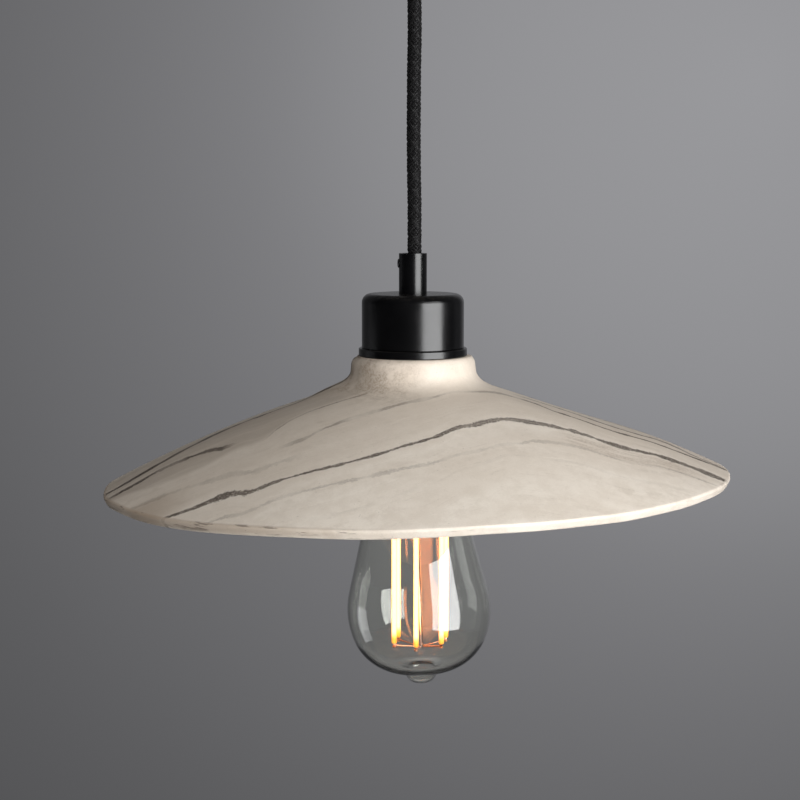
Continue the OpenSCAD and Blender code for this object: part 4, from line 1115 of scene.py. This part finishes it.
# The glass in millimetres and degrees, its heights down from the bulb's contact
BULB_LEAN = 2.0
BULB_CAP_H = 26.5
BULB_WIDE = 109.6
SHOULDER_R = 36.4
CORNER_R = 24.0
GLASS_WALL = 0.9
TIP_R = 7.3
TIP_H = 5.1
TIP_WALL = 1.3
SHOULDER_X = 32.8 - SHOULDER_R
SHOULDER_TOP = 14.0
SHOULDER_LOW = 22.0
CORNER_END = 83.0
CORNER_X = SHOULDER_X + (SHOULDER_R - CORNER_R) * math.cos(math.radians(SHOULDER_LOW))
CORNER_U = BULB_WIDE + (SHOULDER_R - CORNER_R) * math.sin(math.radians(SHOULDER_LOW))
TIP_TOP = CORNER_U + CORNER_R + 0.4
GLASS_MOUTH_R = 12.3
FILAMENT_END = TIP_TOP - 14.0
FILAMENT_LEN = 65.0
FILAMENT_R = 1.2
FILAMENT_ANGLES = (198, 261, 320, 18, 98, 144)
FILAMENT_RING_R = 12.5
STRIP_SHARE = 0.74


def bulb_cone_r(u):
    """Radius of the glass's straight cone at a depth under the contact."""
    top = math.radians(SHOULDER_TOP)
    wide = SHOULDER_X + SHOULDER_R * math.cos(top)
    return wide - (BULB_WIDE - SHOULDER_R * math.sin(top) - u) * math.tan(top)


def glass_line(inset):
    """The glass from its seal down to its tip, drawn in by inset, thicker lower down."""
    line = [(GLASS_MOUTH_R - inset, -20.0), (GLASS_MOUTH_R - inset, -26.0)]
    line += pulled((GLASS_MOUTH_R - inset, -27.0), (bulb_cone_r(28.5) - inset, -27.3),
                   (bulb_cone_r(30.5) - inset, -30.5), 8)
    line += [(bulb_cone_r(u) - inset, -u) for u in range(36, 96, 6)]
    line += arc(SHOULDER_X, -BULB_WIDE, SHOULDER_R - inset, SHOULDER_TOP, -SHOULDER_LOW, 26)
    steps = 18
    for i in range(steps + 1):
        a = math.radians(-SHOULDER_LOW - 3 - (CORNER_END - SHOULDER_LOW - 3) * i / steps)
        r = CORNER_R - inset * (1 + 0.9 * i / steps)
        line.append((CORNER_X + r * math.cos(a), -CORNER_U + r * math.sin(a)))
    return line


def hang_bulb_piece(piece):
    """Puts a piece that was made about the contact into the leaning bulb."""
    place(piece, at_point(0, 0, BULB_CONTACT_Z))
    lean(piece, BULB_LEAN, BULB_CONTACT_Z - BULB_CAP_H)


def blow_bulb():
    """The glass with its sealed tip, as one closed shell."""
    outline = glass_line(0)
    outline += arc(TIP_R - TIP_H, -TIP_TOP, TIP_H, -10, -90, 12)
    outline += [(0.0, -TIP_TOP - TIP_H)]
    outline += arc(TIP_R - TIP_H, -TIP_TOP, TIP_H - TIP_WALL, -90, -8, 10)
    outline += glass_line(GLASS_WALL)[::-1]
    glass = turned("glass_envelope", outline, 144)
    hang_bulb_piece(glass)
    smooth(glass, 50)
    done(glass, BULB_GLASS, "bulb", ["bulb_glass"])


def filament_foot(number):
    """The lower end of a filament: the filaments stand upright in the leaning bulb."""
    a = math.radians(FILAMENT_ANGLES[number])
    foot = Vector((FILAMENT_RING_R * math.cos(a), FILAMENT_RING_R * math.sin(a),
                   BULB_CONTACT_Z - FILAMENT_END))
    pivot = Vector((0, 0, BULB_CONTACT_Z - BULB_CAP_H))
    return pivot + turn(-BULB_LEAN, "Y").to_3x3() @ (foot - pivot)


def stick(name, r, low, high):
    """A stick rounded at both ends, over its foot."""
    outline = [(0.0, low), (r * 0.6, low + 0.12), (r * 0.92, low + 0.45), (r, low + 0.9)]
    outline += [(r, high - 0.9), (r * 0.92, high - 0.45), (r * 0.6, high - 0.12), (0.0, high)]
    return turned(name, outline, 20, closed=False)


def stand_on_feet(model, name):
    """A piece copied onto the foot of each filament."""
    copies = []
    for number in range(len(FILAMENT_ANGLES)):
        twin = copy_of(model, name)
        place(twin, at_point(*filament_foot(number)) @ turn(FILAMENT_ANGLES[number], "Z"))
        copies.append(twin)
    bpy.data.objects.remove(model)
    return joined(copies, name)


def light_filaments():
    """Glowing strips in their coats."""
    strips = stand_on_feet(stick("strip", FILAMENT_R * STRIP_SHARE, 0.7, FILAMENT_LEN - 0.6),
                           "glowing_strips")
    smooth(strips, 60)
    done(strips, LIT_STRIP, "bulb")

    coats = stand_on_feet(stick("coat", FILAMENT_R, 0.0, FILAMENT_LEN), "filament_coats")
    smooth(coats, 60)
    done(coats, PHOSPHOR_COAT, "bulb", ["filaments"])


def wind_filament_tabs():
    """The flat tab under each filament, with its wire wound round it."""
    tab = block(0, 0, -0.7, long=0.9, wide=0.34, tall=2.2)
    soften(tab, 0.08)
    wire_r, winding_r = 0.24, 0.62
    windings = []
    for height in (-1.55, -1.05):
        section = [(winding_r + wire_r * math.cos(k * math.pi / 4),
                    height + wire_r * math.sin(k * math.pi / 4)) for k in range(8)]
        windings.append(turned("winding", section, 16))
    tabs = stand_on_feet(joined([tab] + windings, "tab"), "filament_tabs")
    smooth(tabs, 40)
    done(tabs, COPPER_WIRE, "bulb")


# Camera and light

CAMERA_PLACE = (-0.0058, -0.850, -0.139)
CAMERA_DOWN = 6.456
CAMERA_LENS = 85.17


def aim_camera():
    """The photograph's view: 850 mm in front of the lamp, looking 6.5 degrees down."""
    data = bpy.data.cameras.new("camera")
    camera = bpy.data.objects.new("camera", data)
    bpy.context.scene.collection.objects.link(camera)
    data.sensor_width = 36
    data.lens = CAMERA_LENS
    camera.location = CAMERA_PLACE
    camera.rotation_euler = (math.radians(90 - CAMERA_DOWN), 0, 0)
    bpy.context.scene.camera = camera


def show_in_reflections_only(lamp):
    """Clear glass shows the lamp where it mirrors it, but not where one looks straight
    through the glass at it."""
    lamp.use_nodes = True
    tree = lamp.node_tree
    path = add(tree, "LightPath").outputs
    through_glass = calc(tree, "MINIMUM", path["Transmission Depth"], 1.0)
    unmirrored = calc(tree, "LESS_THAN", path["Glossy Depth"], 0.5)
    hidden = times(tree, through_glass, unmirrored)
    feed(tree, calc(tree, "SUBTRACT", 1.0, hidden), tree.nodes["Emission"].inputs["Strength"])


def softbox(name, azimuth, distance, low, high, width, power, colour, shows_in):
    """An upright rectangular lamp, so many degrees to the right of the camera's line, that
    faces the pendant's axis between two heights in metres. It either lights matt surfaces
    or shows in glossy ones."""
    lamp = bpy.data.lights.new(name, "AREA")
    lamp.shape = "RECTANGLE"
    lamp.size = width
    lamp.size_y = high - low
    lamp.energy = power
    lamp.color = colour
    light = bpy.data.objects.new(name, lamp)
    bpy.context.scene.collection.objects.link(light)
    a = math.radians(azimuth)
    light.location = (distance * math.sin(a), -distance * math.cos(a), (low + high) / 2)
    light.rotation_euler = (math.radians(90), 0, a)
    light.visible_camera = False
    light.visible_diffuse = shows_in == "matt"
    light.visible_glossy = shows_in == "gloss"
    light.visible_transmission = shows_in == "gloss"
    if shows_in == "gloss":
        show_in_reflections_only(lamp)
    return light


def overhead_bank():
    """A wide lamp above the pendant, a little to the front and right."""
    light = softbox("overhead_bank", azimuth=25, distance=0.45, low=0.6, high=1.6, width=1.2,
                    power=8, colour=(1.0, 0.99, 0.97), shows_in="matt")
    pendant_middle = Vector((0, 0, -0.25))
    towards = pendant_middle - light.location
    light.rotation_euler = towards.to_track_quat("-Z", "Y").to_euler()


def light_studio():
    """The lamps, and the grey studio that metal and glass show round the pendant."""
    softbox("key_softbox", azimuth=44, distance=1.19, low=-0.62, high=0.05, width=1.0,
            power=19.5, colour=(1.0, 0.995, 0.99), shows_in="matt")
    softbox("key_in_gloss", azimuth=44, distance=1.15, low=-0.80, high=0.36, width=0.98,
            power=28.5, colour=(0.99, 0.995, 1.0), shows_in="gloss")
    softbox("side_reflector", azimuth=-104, distance=1.3, low=-1.2, high=-0.42, width=0.55,
            power=1.8, colour=(0.95, 0.97, 1.0), shows_in="gloss")
    softbox("front_fill", azimuth=-3, distance=2.2, low=-0.6, high=0.9, width=1.6,
            power=26, colour=(1.0, 0.985, 0.965), shows_in="matt")
    overhead_bank()

    world = bpy.data.worlds.new("studio")
    bpy.context.scene.world = world
    world.use_nodes = True
    tree = world.node_tree
    ambient = tree.nodes["Background"]
    ambient.inputs["Color"].default_value = (0.045, 0.045, 0.047, 1)
    backdrop = add(tree, "Background", {"Color": srgb(116, 116, 119)})
    direction = add(tree, "TexCoord").outputs["Generated"]
    backwards = add(tree, "SeparateXYZ", {0: direction}).outputs[1]

    def darker_in_front(low, high):
        shade = spread(tree, backwards, low, high)
        grey = mix_colour(tree, shade, srgb(34, 34, 36), srgb(112, 112, 115))
        return add(tree, "Background", {"Color": grey})

    path = add(tree, "LightPath").outputs
    shown = ambient
    for ray, look in (("Is Glossy Ray", darker_in_front(0.1, 0.6)),
                      ("Is Transmission Ray", darker_in_front(-0.75, -0.1)),
                      ("Is Camera Ray", backdrop)):
        shown = add(tree, "MixShader", {0: path[ray], 1: shown.outputs[0], 2: look.outputs[0]})
    tree.links.new(shown.outputs[0], tree.nodes["World Output"].inputs["Surface"])


# Studio

# Brightness of the wall's painted light against the distance in metres from its brightest point
WALL_PAINTED_LIGHT = ((0.0, 0.319), (0.4, 0.275), (0.7, 0.191), (1.0, 0.136), (1.3, 0.098),
              (1.8, 0.070))


# The point of the wall where its painted light is brightest, in millimetres
WALL_BRIGHTEST = (450.0, 1600.0, 0.0)


def stand_plane(name, material, x, y, z, tilt=0):
    """A 6 m square plane of the studio."""
    deselect_all()
    bpy.ops.mesh.primitive_plane_add(size=6, location=(x, y, z),
                                     rotation=(math.radians(tilt), 0, 0))
    plane = bpy.context.object
    plane.name = name
    plane.data.materials.append(material)
    settle(plane)


def studio_wall():
    """A plain grey wall behind the lamp, with a painted pool of light on it that is brightest to
    the right.
    """
    material, tree, shader = new_material("grey wall", Roughness=0.9)
    at = in_mm(tree)
    cloud = spread(tree, noise(tree, at, 0.002, 3.0), 0.3, 0.7)
    feed(tree, mix_colour(tree, cloud, srgb(126, 126, 129), srgb(134, 134, 137)),
         shader.inputs["Base Color"])
    off = add(tree, "VectorMath", {0: at, 1: WALL_BRIGHTEST}, operation="SUBTRACT").outputs[0]
    away = add(tree, "VectorMath", {0: off}, operation="LENGTH").outputs["Value"]
    # Painted light: the wall glows brightest round one point, where the camera, gloss and glass see
    # it
    light = drawn_line(tree, times(tree, away, MM), WALL_PAINTED_LIGHT, (0.0, 0.0), (1.8, 0.35))
    tone = add(tree, "CombineColor", {0: light, 1: light, 2: times(tree, light, 1.045)})
    glow = add(tree, "Emission", {"Color": tone.outputs[0], "Strength": 1.0})
    path = add(tree, "LightPath").outputs
    seen = calc(tree, "MAXIMUM", path["Is Camera Ray"], path["Is Glossy Ray"])
    seen = calc(tree, "MAXIMUM", seen, path["Is Transmission Ray"])
    either = add(tree, "MixShader", {0: seen, 1: shader.outputs[0], 2: glow.outputs[0]})
    tree.links.new(either.outputs[0], tree.nodes["Material Output"].inputs["Surface"])
    stand_plane("studio_wall", material, 0, 1.6, 0.2, tilt=90)


def studio_floor():
    """A pale floor well below the lamp, lifted to the camera by a glow of its own."""
    material, tree, shader = new_material("pale floor", Roughness=0.8)
    cloud = noise(tree, in_mm(tree), 0.003, 3.0)
    feed(tree, mix_colour(tree, cloud, srgb(196, 195, 193), srgb(206, 205, 203)),
         shader.inputs["Base Color"])
    seen = add(tree, "LightPath").outputs["Is Camera Ray"]
    glow = add(tree, "Emission", {"Color": srgb(150, 150, 151), "Strength": seen})
    both = add(tree, "AddShader", {0: shader.outputs[0], 1: glow.outputs[0]})
    tree.links.new(both.outputs[0], tree.nodes["Material Output"].inputs["Surface"])
    stand_plane("pale_floor", material, 0, -1.4, -1.7)


# Putting it together

bpy.context.scene.view_settings.view_transform = "Standard"
aim_camera()
dress_frame()
braid_flex()
braid_held_ends()
drive_cup_screws()
drive_earth_screw()
drive_grub_screws()
drive_clamp_screws()
drive_holder_screws()
cut_skirt_thread()
rib_lower_ring()
roll_screw_shell()
roll_bulb_cap()
throw_shade()
blow_bulb()
light_filaments()
wind_filament_tabs()
studio_wall()
studio_floor()
light_studio()
